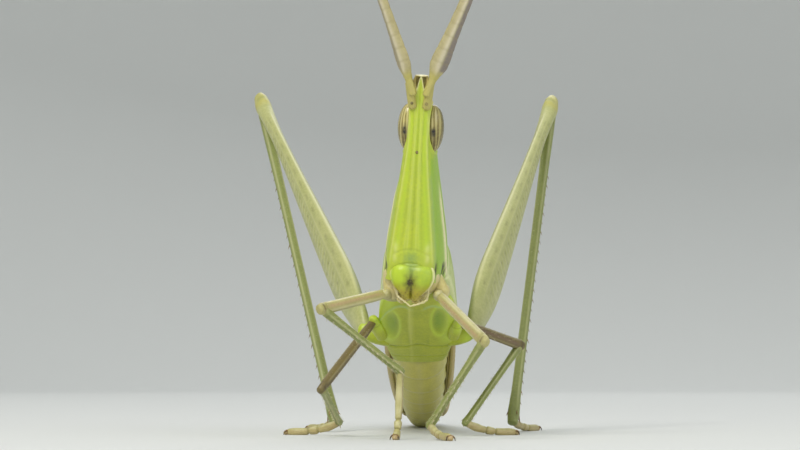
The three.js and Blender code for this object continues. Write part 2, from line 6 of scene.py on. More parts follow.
import bpy
import numpy as np
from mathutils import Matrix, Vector


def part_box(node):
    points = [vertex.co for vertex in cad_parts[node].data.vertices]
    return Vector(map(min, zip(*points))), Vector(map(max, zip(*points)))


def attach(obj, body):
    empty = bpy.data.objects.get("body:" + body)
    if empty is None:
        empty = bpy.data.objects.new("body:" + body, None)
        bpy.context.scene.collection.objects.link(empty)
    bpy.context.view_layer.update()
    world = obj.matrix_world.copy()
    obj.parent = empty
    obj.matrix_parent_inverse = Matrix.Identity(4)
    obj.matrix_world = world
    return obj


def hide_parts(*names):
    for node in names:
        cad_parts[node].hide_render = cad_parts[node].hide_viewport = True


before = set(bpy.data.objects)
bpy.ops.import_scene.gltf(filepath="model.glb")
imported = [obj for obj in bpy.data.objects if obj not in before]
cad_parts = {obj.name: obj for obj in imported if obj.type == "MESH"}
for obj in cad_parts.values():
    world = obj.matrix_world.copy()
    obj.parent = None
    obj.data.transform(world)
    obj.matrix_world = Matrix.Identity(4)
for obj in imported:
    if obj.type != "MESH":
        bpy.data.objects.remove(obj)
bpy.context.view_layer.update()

MM = 0.001
TURN = math.pi / 180

# ---------------------------------------------------------------- driving sizes, in millimetres
GAP = 0.1  # free space between neighbouring solids
PITCH = 26 * TURN
MOUTH_HEIGHT = 11
BREAST_STEP = 1.5
STRAIGHT = 10
FOOT_FLAT = 0.08
THORAX_END = 14.4
ABDOMEN_END = 48.6
FACE_LENGTH = 17.7
FACE_SLOPE = 78 * TURN
HEAD_YAW = 6.5 * TURN
HEAD_ROLL = 3.6 * TURN
OCCIPUT = (3.5, 6.5)
TIP_DEPTH = 0.75
LIP_SHIFT = 0.14  # the upper lip sits a little to the animal's left
GENA_END = 1.35  # the cheeks end this far above the mouth's level, measured up the face
EYE_T, EYE_X, EYE_HALF = 0.27, 0.98, np.array((0.86, 1.08, 1.92))
EYE_LEAN = math.pi / 2 - FACE_SLOPE + 9 * TURN
FEELER_LENGTH = 22
WING_START = 9
WING_END = 55.5
SETTLE = 4  # rounds in which a skin that ends on a slanting line finds its places


def vec(x, y, z):
    return np.array((x, y, z), float)


def mix(a, b, t):
    return a + (b - a) * t


def unit(a):
    return a / np.linalg.norm(a, axis=-1, keepdims=True)


def smooth(a, b, x):
    """Goes softly from 0 at a to 1 at b, whichever of them is the greater."""
    t = np.clip((np.asarray(x, float) - a) / (b - a), 0, 1)
    return t * t * (3 - 2 * t)


def hill(x, middle, half):
    """A round-topped hill, 1 high at middle."""
    return np.exp(-(((x - middle) / half) ** 2))


def beats(phase, half):
    """A row of hills, one on each whole number of the phase."""
    return hill(phase, np.round(phase), half)


def profile(pairs, at):
    """A value that runs smoothly through a few (place, value) pairs."""
    place, value = np.array(pairs, float).T
    at = np.clip(np.asarray(at, float), place[0], place[-1])
    last = len(place) - 1
    i = np.clip(np.searchsorted(place, at), 1, last)

    def slope(j, k):
        return (value[k] - value[j]) / (place[k] - place[j])

    a, b = place[i - 1], place[i]
    t = (at - a) / (b - a)
    leave = (b - a) * slope(np.maximum(i - 2, 0), i)
    arrive = (b - a) * slope(i - 1, np.minimum(i + 1, last))
    bend = t * (1 - t) * ((1 - t) * leave - t * arrive)
    return mix(value[i - 1], value[i], t * t * (3 - 2 * t)) + bend


def through(places, count):
    """Points of a smooth run through a few places, which count as equally far apart."""
    at = np.linspace(0, 1, len(places))
    fine = np.linspace(0, 1, count)
    return np.stack([profile(list(zip(at, column)), fine) for column in zip(*places)], -1)


def rounded(angle, half_width, half_height, power):
    """A point of a rounded box outline: power 2 is an ellipse, more is boxier."""
    c, s = np.cos(angle), np.sin(angle)
    x = half_width * np.sign(c) * np.abs(c) ** (2 / power)
    return x, half_height * np.sign(s) * np.abs(s) ** (2 / power)


def round_of(sides, start=0.0):
    return start + (np.arange(sides) + 0.5) / sides * 2 * math.pi


# ---------------------------------------------------------------- skins: grids of points with named marks
DOME_RINGS = 6


class Skin:
    """A closed sleeve of rings, or a closed plate between two sheets, with marks that materials read."""

    def __init__(self, rings, plate=False, **marks):
        self.rings, self.plate, self.marks = rings, plate, {}
        self.mark(**marks)

    def mark(self, **marks):
        for name, value in marks.items():
            self.marks[name] = np.clip(np.broadcast_to(value, self.rings.shape[:2]), 0, 1).copy()
        return self

    def relief(self, height):
        """Moves the points out along the skin's own normals."""
        along = np.gradient(self.rings, axis=0)
        around = np.roll(self.rings, -1, 1) - np.roll(self.rings, 1, 1)
        normal = np.cross(along, around)
        normal /= np.maximum(np.linalg.norm(normal, axis=-1, keepdims=True), 1e-9)
        out = self.rings - self.rings.mean(1, keepdims=True)
        if (normal * out).sum() < 0:
            normal = -normal
        self.rings = self.rings + normal * np.asarray(height)[..., None]
        return self

    def press(self, floor):
        """Flattens what would reach below that height."""
        self.rings[..., 2] = np.maximum(self.rings[..., 2], floor)
        return self

    def dome(self, start, end):
        """Adds a dome of that height in millimetres at either end."""
        for height, first in ((start, True), (end, False)):
            ring, inner = (self.rings[0], self.rings[1]) if first else (self.rings[-1], self.rings[-2])
            middle = ring.mean(0)
            way = unit(middle - inner.mean(0)) * height
            turn = (np.arange(1, DOME_RINGS + 1) / (DOME_RINGS + 0.3) * math.pi / 2)[:, None, None]
            rows = middle + (ring - middle) * np.cos(turn) + way * np.sin(turn)
            order = (rows[::-1], self.rings) if first else (self.rings, rows)
            self.rings = np.concatenate(order)
            for name, mark in self.marks.items():
                edge = np.repeat(mark[:1] if first else mark[-1:], DOME_RINGS, 0)
                self.marks[name] = np.concatenate((edge, mark) if first else (mark, edge))
        return self

    def mesh(self):
        """Points, faces and marks, with the faces turned outwards."""
        rows, sides = self.rings.shape[:2]
        corner = np.arange(rows * sides).reshape(rows, sides)
        ahead = np.roll(corner, -1, 1)
        quads = np.stack((corner[:-1], ahead[:-1], ahead[1:], corner[1:]), -1).reshape(-1, 4)
        points = self.rings.reshape(-1, 3)
        marks = {name: mark.reshape(-1) for name, mark in self.marks.items()}
        if self.plate:
            half = sides // 2
            fold = corner[:, ::-1]
            ends = [
                np.stack((corner[row, : half - 1], fold[row, : half - 1], fold[row, 1:half],
                          corner[row, 1:half]), -1)[:, :: (1 if row else -1)]
                for row in (0, rows - 1)
            ]
            faces = [*quads.tolist(), *ends[0].tolist(), *ends[1].tolist()]
        else:
            count = len(points)
            points = np.concatenate((points, self.rings[[0, -1]].mean(1)))
            marks = {name: np.append(m, (m[:sides].mean(), m[-sides:].mean())) for name, m in marks.items()}
            fans = [(count, ahead[0, j], corner[0, j]) for j in range(sides)]
            fans += [(count + 1, corner[-1, j], ahead[-1, j]) for j in range(sides)]
            faces = [*quads.tolist(), *fans]
        tri = np.array([f[:3] for f in faces] + [(f[0], f[2], f[3]) for f in faces if len(f) == 4])
        a, b, c = (points[tri[:, k]] for k in range(3))
        if (a * np.cross(b, c)).sum() < 0:
            faces = [f[::-1] for f in faces]
        return points, faces, marks


def sheets(outer, inner):
    """Both sheets of a plate as one round of points or marks: out along one and back along the other."""
    outer, inner = np.broadcast_arrays(outer, inner)
    return np.concatenate((outer, inner[:, ::-1]), 1)


def evenly(rings, sides, *more):
    """Closed rings resampled at equal steps round, with further values carried along."""
    values = np.concatenate([rings, *(np.broadcast_to(m, rings.shape[:2])[..., None] for m in more)], -1)
    values = np.concatenate((values, values[:, :1]), 1)
    step = np.linalg.norm(np.diff(values[..., :3], axis=1), axis=-1)
    way = np.concatenate((np.zeros((len(step), 1)), step.cumsum(1)), 1)
    made = np.empty((len(rings), sides, values.shape[-1]))
    for row in range(len(rings)):
        at = np.arange(sides) / sides * way[row, -1]
        for k in range(values.shape[-1]):
            made[row, :, k] = np.interp(at, way[row], values[row, :, k])
    return made[..., :3], *np.moveaxis(made[..., 3:], -1, 0)


# ---------------------------------------------------------------- pieces
def placed(name, data):
    """A scene object for a mesh, a camera or a lamp."""
    made = bpy.data.objects.new(name, data)
    bpy.context.scene.collection.objects.link(made)
    return made


def piece(name, skins, finish, slot, *nodes):
    """One object from skins in millimetres; it rides on the model's body and may stand for CAD nodes."""
    points, faces, count = [], [], 0
    meshes = [skin.mesh() for skin in skins]
    marks = {key: [] for key in sorted({key for _, _, found in meshes for key in found})}
    for places, corners, found in meshes:
        faces += [[i + count for i in face] for face in corners]
        count += len(places)
        points.append(places)
        for key, values in marks.items():
            values.append(found.get(key, np.zeros(len(places))))
    mesh = bpy.data.meshes.new(name)
    mesh.from_pydata(framed(np.concatenate(points)).tolist(), [], faces)
    for key, values in marks.items():
        mesh.attributes.new(key, "FLOAT", "POINT").data.foreach_set("value", np.concatenate(values))
    mesh.polygons.foreach_set("use_smooth", [True] * len(mesh.polygons))
    mesh.materials.append(finish)
    aboard(placed(name, mesh), slot, *nodes)


def aboard(made, slot, *nodes):
    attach(made, "root")
    if nodes:
        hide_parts(*nodes)


# ---------------------------------------------------------------- the trunk's bent space
# w is sideways, s back along the underside, h up across the body.
BREAST = vec(0, BREAST_STEP * math.sin(PITCH), MOUTH_HEIGHT + BREAST_STEP * math.cos(PITCH))
BEND_RADIUS = (BREAST[2] + FOOT_FLAT - STRAIGHT * math.sin(PITCH)) / (1 - math.cos(PITCH))


def trunk_point(w, s, h):
    w, s, h = np.broadcast_arrays(*(np.asarray(value, float) for value in (w, s, h)))
    slope = np.clip(PITCH - (s - STRAIGHT) / BEND_RADIUS, 0, PITCH)
    straight = np.minimum(s, STRAIGHT)
    past_bend = np.maximum(0, s - STRAIGHT - BEND_RADIUS * PITCH)
    y = BREAST[1] + straight * math.cos(PITCH) + BEND_RADIUS * (math.sin(PITCH) - np.sin(slope)) + past_bend
    z = BREAST[2] - straight * math.sin(PITCH) - BEND_RADIUS * (np.cos(slope) - math.cos(PITCH))
    return np.stack((w, y + h * np.sin(slope), z + h * np.cos(slope)), -1)


TRUNK_WIDTH = [(-2, 1.8), (1, 2.1), (5, 2.55), (9.5, 2.8), (14.4, 2.7), (24, 2.5), (36, 2.05), (45, 1.5),
               (50, 1.1), (56, 0.5)]
TRUNK_HEIGHT = [(-2, 6.2), (3, 6.3), (9, 6.7), (14.4, 6.6), (24, 6), (36, 4.6), (45, 3.1), (50, 2.3),
                (56, 1.6)]
TRUNK_LEAN = [(0, 0.12), (14, 0.18), (30, 0.34), (50, 0.3)]


def trunk_skin(s, angle, grow, boxiness):
    """w and h of the trunk's skin; the angle runs from 0 at the left side over the back."""
    half = profile(TRUNK_HEIGHT, s) / 2
    x, z = rounded(angle, profile(TRUNK_WIDTH, s) + grow, half + grow, boxiness)
    return x * (1 - profile(TRUNK_LEAN, s) * (z / half + 1) * 0.5), half + z


def neck_line(h):
    """Where the head meets the trunk, at height h."""
    return OCCIPUT[0] * (h + BREAST_STEP) / (OCCIPUT[1] + BREAST_STEP) + GAP


# ---------------------------------------------------------------- head measures
MOUTH = vec(0, 0, MOUTH_HEIGHT)
FACE_UP = vec(0, -math.cos(FACE_SLOPE), math.sin(FACE_SLOPE))
FACE_BACK = vec(0, math.sin(FACE_SLOPE), math.cos(FACE_SLOPE))
TIP = MOUTH + FACE_UP * FACE_LENGTH
CROWN_TIP = TIP + FACE_BACK * TIP_DEPTH
CROWN_END = trunk_point(0, *OCCIPUT)
NECK = (MOUTH + CROWN_END) / 2
HEAD_WIDTH = [(0, 0.5), (0.03, 0.72), (0.1, 0.86), (0.2, 0.86), (0.29, 0.95), (0.38, 1.26), (0.46, 1.43),
              (0.56, 1.65), (0.7, 1.97), (0.84, 2.28), (1, 2.47), (1.1, 2.5)]


def turn_about(points, axis, angle):
    """Rodrigues' turn of points about an axis through the origin."""
    axis = unit(np.asarray(axis, float))
    dot = (points @ axis)[..., None] * axis
    return dot + (points - dot) * math.cos(angle) + np.cross(axis, points) * math.sin(angle)


def head_turn(points):
    turned = turn_about(turn_about(points - NECK, FACE_UP, -HEAD_YAW), vec(0, 1, 0), HEAD_ROLL)
    return turned + NECK


def head_ruler(t):
    """The face's point at t, from 0 at the tip to 1 at the mouth, and the way from it to the crown."""
    t = np.asarray(t, float)[..., None]
    front = mix(TIP, MOUTH, t)
    crown = mix(CROWN_TIP, CROWN_END, t) + FACE_BACK * 0.35 * np.sin(math.pi * np.minimum(t, 1))
    return front, crown - front


def head_point(x, t, depth):
    """A place on the head: sideways, down the face and in from it."""
    front, across = head_ruler(t)
    place = front + unit(across) * np.asarray(depth, float)[..., None]
    return head_turn(place + np.asarray(x, float)[..., None] * vec(1, 0, 0))


def eye_place():
    front, across = head_ruler(np.array(EYE_T))
    return vec(EYE_X, *(front + across * 0.52)[1:])


# from these measures to the frame's, by the middle of one eye
SHIFT = np.array(sum(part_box("eye_left"), Vector()) / 2 / MM - Vector(head_turn(eye_place())))


def framed(points):
    """Points of these measures, in millimetres, as places in the frame, in metres."""
    return (points + SHIFT) * MM


def eye_reach(points, side):
    """How far out from the eye's middle unturned head points lie: 1 on the eye's surface."""
    local = turn_about(points - eye_place() * vec(side, 1, 1), vec(1, 0, 0), -EYE_LEAN)
    return np.linalg.norm(local / EYE_HALF, axis=-1)


# ---------------------------------------------------------------- finishes
def linear(code):
    """An sRGB hex colour as the linear colour that a shader takes."""
    parts = [int(code[i : i + 2], 16) / 255 for i in (0, 2, 4)]
    return (*((c / 12.92 if c <= 0.04045 else ((c + 0.055) / 1.055) ** 2.4) for c in parts), 1)


def add(tree, kind, inputs=None, **settings):
    """Adds a node: its settings, and its sockets' values or what feeds them."""
    made = tree.nodes.new(kind)
    for name, value in settings.items():
        setattr(made, name, value)
    for at, value in (inputs or {}).items():
        if isinstance(value, bpy.types.NodeSocket):
            tree.links.new(value, made.inputs[at])
        else:
            made.inputs[at].default_value = value
    return made


def per_metre(size_mm):
    """The scale that gives a pattern features of that size, on coordinates in metres."""
    return 1 / (size_mm * MM)


USUAL_STRENGTH = {"pale": 0.9, "deep": 0.8}  # how far a mark's colour covers, and 1 for the others


def cuticle(name, base, shade, marks, roughness=0.42, coat=0.12, grain=0.16, depth=0.012, glow=0.12):
    """Waxy insect shell: colour drifts between base and shade, and named marks lay colours over it."""
    finish = bpy.data.materials.new(name)
    finish.use_nodes = True
    tree = finish.node_tree
    tree.nodes.clear()
    place = add(tree, "ShaderNodeTexCoord").outputs["Object"]
    drift = add(tree, "ShaderNodeTexNoise", {"Vector": place, "Scale": per_metre(1.6), "Detail": 3.0})
    mottle = add(tree, "ShaderNodeTexNoise", {"Vector": place, "Scale": per_metre(0.22), "Detail": 2.0})
    mixed = add(tree, "ShaderNodeMath", {0: drift.outputs[0], 1: mottle.outputs[0]}, operation="ADD")
    share = add(tree, "ShaderNodeMapRange", {"Value": mixed.outputs[0], "From Min": 0.8, "From Max": 1.2})
    colour = add(tree, "ShaderNodeMix", {"Factor": share.outputs[0], "A": linear(base), "B": linear(shade)},
                 data_type="RGBA")
    broken = add(tree, "ShaderNodeMath", {0: mottle.outputs[0], 1: 0.5}, operation="ADD")
    for mark, code in marks.items():
        code, strength = code if isinstance(code, tuple) else (code, USUAL_STRENGTH.get(mark, 1.0))
        seen = add(tree, "ShaderNodeAttribute", attribute_name=mark)
        spread = add(tree, "ShaderNodeMath", {0: seen.outputs["Fac"], 1: broken.outputs[0]},
                     operation="MULTIPLY", use_clamp=True)
        amount = add(tree, "ShaderNodeMath", {0: spread.outputs[0], 1: strength}, operation="MULTIPLY")
        colour = add(tree, "ShaderNodeMix",
                     {"Factor": amount.outputs[0], "A": colour.outputs["Result"], "B": linear(code)},
                     data_type="RGBA")
    pits = add(tree, "ShaderNodeTexVoronoi", {"Vector": place, "Scale": per_metre(grain)}, feature="F1")
    fine = add(tree, "ShaderNodeTexNoise", {"Vector": place, "Scale": per_metre(grain / 3), "Detail": 2.0})
    rough = add(tree, "ShaderNodeMath", {0: pits.outputs["Distance"], 1: fine.outputs[0]}, operation="ADD")
    bump = add(tree, "ShaderNodeBump", {"Height": rough.outputs[0], "Distance": depth * MM, "Strength": 0.8})
    gloss = add(tree, "ShaderNodeMapRange", {"Value": fine.outputs[0], "From Min": 0.3, "From Max": 0.7,
                                             "To Min": roughness - 0.06, "To Max": roughness + 0.08})
    shader = add(tree, "ShaderNodeBsdfPrincipled", {
        "Base Color": colour.outputs["Result"], "Roughness": gloss.outputs[0], "Normal": bump.outputs[0],
        "IOR": 1.54, "Coat Weight": coat, "Coat Roughness": 0.3, "Subsurface Weight": glow,
        "Subsurface Radius": (0.9, 1.0, 0.35), "Subsurface Scale": 0.6 * MM})
    add(tree, "ShaderNodeOutputMaterial", {"Surface": shader.outputs[0]})
    return finish


# Face and cheek shell, a waxy lime cuticle: fine pale and lime lines run down it, the cheeks are leaf green
# with a blue-grey seam, and the hollows by the feelers are olive brown. Painted light and shade: the leaf
# green is painted mostly on the animal's left, shaded side of face and lip, and the lighter lime on the
# right, lit side; painted shade darkens the hollows, and the dark colour also paints a shadow in the gap
# beside the lip.
FACE_SHELL = cuticle("lime_face_cuticle", "bdcb32", "b1c238", {
    "cheek": "98bd36", "band": ("a0ba78", 0.5), "lime": ("b6d12a", 0.75), "tint": ("8ba552", 0.9),
    "tan": "c6b476", "ochre": ("b4a034", 0.8), "pale": "d6dd80", "deep": "8b9c26",
    "cream": "ece6b6", "dark": "3c3313"}, roughness=0.44, coat=0.08, grain=0.2, glow=0.15)
# The saddle over the back, leaf green, with cream keels and a green-brown shade in the furrows.
BACK_SHELL = cuticle("leaf_green_cuticle", "a6bf46", "98b340", {
    "tint": ("c3cd8a", 0.9), "pale": "dfe3ae", "deep": "6f8c2c"})
# The breast, olive lime and softly shining: lime lobes, dark lens-shaped dips, a pale middle line.
BREAST_SHELL = cuticle("breast_cuticle", "b0b926", "a0ac22", {
    "tint": "84a526", "lime": "bdd23c", "band": ("a9c88c", 0.9), "pale": "cccf66",
    "deep": ("6f8416", 0.85)}, roughness=0.42, coat=0.1)
# Belly rings, thinner olive-yellow cuticle, paler on each hind edge.
BELLY_SHELL = cuticle("olive_belly_cuticle", "ccc64a", "bdb83e", {
    "tint": "b3ac58", "pale": "c6c084", "deep": "77742c", "dark": "4e431e"})
# Walking thighs and feet, straw-coloured and a little see-through, with a pinkish line down the middle.
STRAW_SHELL = cuticle("straw_leg_cuticle", "b5ae74", "a69f63", {
    "tint": ("bb9478", 0.8), "pale": "d3cda0", "deep": "8d8449", "dark": "5a4526"},
    roughness=0.4, glow=0.2)
# The middle pair's thighs, brown with a mauve bloom.
MAUVE_SHELL = cuticle("brown_mauve_leg_cuticle", "746636", "685a30", {
    "tint": ("745a4a", 0.9), "pale": "9c9068", "deep": "665b38", "dark": "41341c"},
    roughness=0.45, glow=0.15)
# Soft mouth skin and jaws, tan cream with brown in the seams.
MOUTH_SHELL = cuticle("cream_mouth_cuticle", "d2c68a", "c4b778", {
    "tint": "bcae50", "pale": "ded5a4", "deep": "9c8c4c", "dark": "4b3c1c"},
    roughness=0.38, glow=0.2)
# Feelers, finely jointed horn: a cream inner ridge, and grey-mauve painted shade on the outer half of the
# blade.
FEELER_SHELL = cuticle("feeler_horn", "b4aa7c", "a69c70", {
    "tint": ("80756f", 0.95), "pale": ("d0c7aa", 0.95), "deep": ("93875a", 0.6), "dark": "5b4a30",
    "ochre": ("b6ad5c", 0.9)}, roughness=0.5, coat=0.05, grain=0.1)
# Jumping thighs, satin yellow green, with slanting ribs and rows of brown pits.
THIGH_SHELL = cuticle("hind_thigh_cuticle", "b9ba7c", "aaad6e", {
    "tint": "bdb55c", "pale": "d0ce9c", "deep": "939858", "dark": "6b6440"})
# Shins, grey green with cream edges.
SHIN_SHELL = cuticle("grey_green_shin_cuticle", "8d9550", "808846", {
    "tint": "aaa66a", "pale": "bdbd8c", "deep": "757c40"})
# Forewings, leathery and netted with veins, straw brown along both edges.
WING_SHELL = cuticle("leathery_wing", "a3b456", "94a54c", {
    "tint": "b6ad6c", "pale": "c4c884", "deep": "78883c", "brown": "b9a566"},
    roughness=0.5, coat=0.05, grain=0.12)
# The folded hind wing's edge under each forewing: thin, dry, yellow-brown skin.
FOLD_SKIN = cuticle("dry_wing_skin", "bfb070", "ad9e60", {"deep": "8f7f48"}, roughness=0.55, coat=0.0,
                    grain=0.1, glow=0.25)
# Eyes, glassy facets over brown streaks; the olive tint paints shade on the eyes and colours the simple eyes
# brown.
EYE_SHELL = cuticle("eye_facets", "bcae60", "a99c55", {
    "pale": ("e6dba2", 0.85), "deep": ("5d4c1c", 0.95), "tint": "655d2c", "dark": "120c05"},
    roughness=0.22, coat=0.3, grain=0.06, depth=0.004, glow=0.1)
# Claws and the spines of the jumping shins, hard polished brown horn.
CLAW_HORN = cuticle("claw_horn", "8a6a35", "7a5a2c", {"dark": "22160a"}, roughness=0.3, coat=0.3,
                    grain=0.05, depth=0.004)
# Bristles and the spines of the walking shins, clear pale horn.
BRISTLE_HORN = cuticle("pale_bristle_horn", "cfc7a0", "bfb68c", {}, roughness=0.4, coat=0.1, grain=0.05,
                       depth=0.002, glow=0.2)


# ---------------------------------------------------------------- head
def make_head():
    t = np.concatenate((np.linspace(0, 0.12, 56, False), np.linspace(0.12, 0.8, 150, False),
                        np.linspace(0.8, 1, 64)))[:, None]
    fine, sides = 1440, 240  # so many points round the first outline, and round the even one taken from it
    angle = (np.arange(fine) / fine * 2 * math.pi - math.pi / 2)[None]
    front, across = head_ruler(t)
    length = np.linalg.norm(across, axis=-1)
    width = profile(HEAD_WIDTH, t)
    face = np.sin(angle) < 0
    x, d = rounded(angle, width, length / 2, np.where(face, 4.6, 2.1))
    x = x * (1 - np.where(face, 0.1, 0.2) * (d / (length / 2)) ** 2)
    depth = length / 2 + d
    rings = front + unit(across) * depth[..., None] + x[..., None] * vec(1, 0, 0)
    rings, x, depth = evenly(rings, sides, x, depth)
    share = depth / length  # 0 at the face, 1 at the crown
    ax = np.abs(x)
    facing = smooth(0.24, 0.1, share)

    costa = profile([(0, 0.02), (0.02, 0.13), (0.058, 0.28), (0.12, 0.34), (0.2, 0.3), (0.34, 0.3),
                     (0.66, 0.45), (0.81, 0.62)], t)
    on_face = facing * smooth(0.8, 0.76, t)
    below_feelers = smooth(0.13, 0.2, t)
    ridge = hill(ax, costa, 0.07) * on_face
    sulcus = hill(x, 0, 0.07 + 0.05 * t) * on_face * below_feelers
    beside = hill(ax, profile([(0.12, 0.14), (0.34, 0.18), (0.66, 0.3), (0.8, 0.36)], t), 0.06) * on_face
    furrow = hill(ax, profile([(0.2, 0.4), (0.34, 0.42), (0.66, 0.68), (0.8, 0.88)], t), 0.08)
    furrow = furrow * on_face * below_feelers
    bright = hill(ax, profile([(0.2, 0.52), (0.34, 0.55), (0.66, 1.02), (0.8, 1.25)], t), 0.14)
    bright = bright * on_face * below_feelers
    brow = smooth(costa, costa - 0.1, ax) * smooth(0.04, 0.07, t) * smooth(0.5, 0.3, t)
    carina = profile([(0.2, 0.7), (0.34, 0.77), (0.66, 1.36), (0.8, 1.62), (1, 1.9)], t)
    corner = hill(ax, carina, 0.075) * smooth(0.3, 0.2, share) * below_feelers
    corner = corner * smooth(0.88, 0.82, t)
    flank = smooth(0.7, 0.55, share) * smooth(0.34, 0.42, t)
    band = hill(ax, carina + 0.19, 0.1) * flank * smooth(0.4, 0.5, t) * smooth(-0.2, 0.2, x)
    # painted light and shade: the cheeks' leaf green is their own colour, but it is painted mostly on the
    # animal's left cheek, the shaded side, while the right cheek, on the lit side, keeps the face's lighter
    # lime
    painted_shade_side = mix(0.25, 1, smooth(-0.2, 0.2, x))
    cheek = smooth(carina + 0.16, carina + 0.3, ax) * flank * painted_shade_side
    edge = hill(share, 0.42, 0.06) * smooth(0.5, 0.64, t)
    crest = hill(x, 0, 0.1) * smooth(0.8, 0.95, share) * smooth(0.02, 0.1, t)

    outer = profile([(0, 0.5), (0.03, 0.47), (0.062, 0.33)], t)
    # the hollows by the feelers are pressed in and painted olive brown, and painted shade darkens them
    # further
    hollow = smooth(costa - 0.02, costa + 0.06, ax) * smooth(outer, outer - 0.08, ax)
    hollow = hollow * smooth(0.001, 0.007, t) * smooth(0.064, 0.05, t) * facing
    root_skin = smooth(costa - 0.02, costa + 0.08, ax) * smooth(0.16, 0.12, t) * (share < 0.8)
    rim = smooth(0.004, 0, t)
    eye = np.minimum(eye_reach(rings, 1), eye_reach(rings, -1))
    socket = hill(ax, 0.56, 0.3) * hill(t, 0.09, 0.03) * facing

    arch = t - 0.035 * (ax / 1.5) ** 2
    seat = smooth(0.76, 0.79, arch) * smooth(0.86, 0.83, arch) * smooth(1.7, 1.2, ax) * facing
    sutures = (0.6 * hill(arch, 0.775, 0.006) + hill(arch, 0.838, 0.005)) * smooth(1.7, 1.3, ax)
    sutures = sutures * facing
    knobs = hill(ax, 1.27, 0.2) * hill(t, 0.775, 0.022) + hill(ax, 1.3, 0.18) * hill(t, 0.82, 0.018)
    knobs = knobs * facing
    wrinkles = np.sin(t * 900 + 2 * x) * hill(ax, 1.0, 0.5) * hill(t, 0.77, 0.03) * facing
    # the dark hinge marks over the jaws: a long one, with a dot below it
    turned = smooth(0.78, 0.9, -x / width) * smooth(0.45, 0.3, share)
    joint = turned * (hill(t, 0.892, 0.016) + hill(t, 0.922, 0.008))
    wedge = hill(share, 0.3, mix(0.03, 0.1, smooth(0.91, 0.945, t))) * smooth(0.9, 0.915, t)
    wedge = wedge * smooth(0.955, 0.94, t)
    joint = joint + (x > 0) * (wedge + hill(share, 0.33, 0.07) * hill(t, 0.965, 0.01))
    # painted shadow: a dark crescent in the gap beside the upper lip, on the animal's left, also pressed in a
    # little
    gap_shadow = hill(x, 1.98, 0.08) * hill(t, 0.885, 0.03) * facing

    skin = Skin(rings)
    height = 0.05 * ridge - 0.03 * sulcus + 0.02 * beside - 0.02 * furrow + 0.06 * corner
    height = height + edge * mix(0.16, 0.06, smooth(-0.2, 0.2, x))
    height = height + 0.05 * crest - 0.2 * hollow + 0.05 * rim + 0.07 * hill(eye, 1.14, 0.05)
    height = height - 0.16 * smooth(1.06, 0.9, eye) + 0.1 * socket + 0.05 * seat - 0.04 * sutures
    height = height + 0.03 * knobs + 0.008 * wrinkles - 0.1 * joint - 0.08 * gap_shadow
    skin.relief(height)
    # the extra leaf green over the face's left half is painted shade
    skin.mark(
        pale=0.25 * ridge + 0.35 * beside + 0.5 * corner + 0.5 * hill(eye, 1.12, 0.05) + 0.4 * knobs,
        cream=edge + 0.55 * rim + 0.9 * ridge * smooth(0.09, 0.05, t) + 0.15 * knobs,
        lime=0.7 * bright + 0.5 * brow, cheek=cheek + 0.3 * smooth(-0.1, 0.9, x) * on_face, band=band,
        tan=root_skin + 0.4 * socket, tint=0.9 * hill(x, 0, 0.6) * hill(t, 0.82, 0.035) * facing,
        deep=0.5 * sulcus + 0.25 * furrow + 0.6 * sutures, dark=0.6 * hollow + joint + gap_shadow,
        ochre=0.9 * hollow,
    )
    # the cheeks' lower edge is level: what would reach below it folds in under the head
    up = (skin.rings - MOUTH) @ FACE_UP
    over = np.maximum(0, GENA_END - up)
    skin.rings = skin.rings + FACE_UP * (over * 0.93)[..., None]
    skin.rings[..., 0] *= 1 - 0.8 * smooth(0, 1.1, over)
    skin.dome(start=0.07, end=0.5)
    skin.rings = head_turn(skin.rings)
    piece("head_capsule", [skin], FACE_SHELL, "leaf_green", "head")


def ball_angles(rows, sides):
    """The angles of a ball's points, up from its waist and round it."""
    rise = np.linspace(-math.pi / 2, math.pi / 2, rows + 2)[1:-1, None]
    return rise, (np.arange(sides) / sides * 2 * math.pi)[None]


def ball(centre, half, rows=16, sides=24, lean=0.0):
    """An egg shape with its long way up, leaning about the X axis."""
    rise, turn = ball_angles(rows, sides)
    rings = np.stack(np.broadcast_arrays(np.cos(rise) * np.cos(turn) * half[0],
                                         np.cos(rise) * np.sin(turn) * half[1],
                                         np.sin(rise) * half[2]), -1)
    return Skin(turn_about(rings, vec(1, 0, 0), lean) + centre)


EYE_GRID = (90, 128)


def make_eyes():
    rise, turn = ball_angles(*EYE_GRID)
    for side, name in ((-1, "right"), (1, "left")):
        # the eye looks forward and a little outward; streaks run down it
        ahead = -math.pi / 2 + side * 12 * TURN
        off = np.angle(np.exp(1j * (turn - ahead)))
        streaks = 0.5 + 0.5 * np.sin(off * 15 + 1.5 * np.sin(rise * 1.7 + off * 3))
        trail = 0.9 * hill(off, 0.12 * side, 0.2) * smooth(0.1, -0.4, rise)
        eye = ball(eye_place() * vec(side, 1, 1), EYE_HALF, *EYE_GRID, EYE_LEAN)
        # painted shade: the olive tint darkens each eye's sides, where its surface turns away, and the whole
        # left eye
        eye.mark(deep=np.maximum(streaks**1.3 * mix(0.5, 1, smooth(0.7, -0.3, rise)), trail),
                 pale=(1 - streaks) * mix(0.3, 0.7, smooth(-0.2, 0.6, rise)),
                 tint=0.85 * hill(np.abs(off), 1.3, 0.4) + 0.2 * (side > 0),
                 dark=1.5 * hill(off, 0, 0.17) * hill(rise, -0.02, 0.17))
        eye.rings = head_turn(eye.rings)
        piece(f"compound_eye_{name}", [eye], EYE_SHELL, "eye_amber", f"eye_{name}")


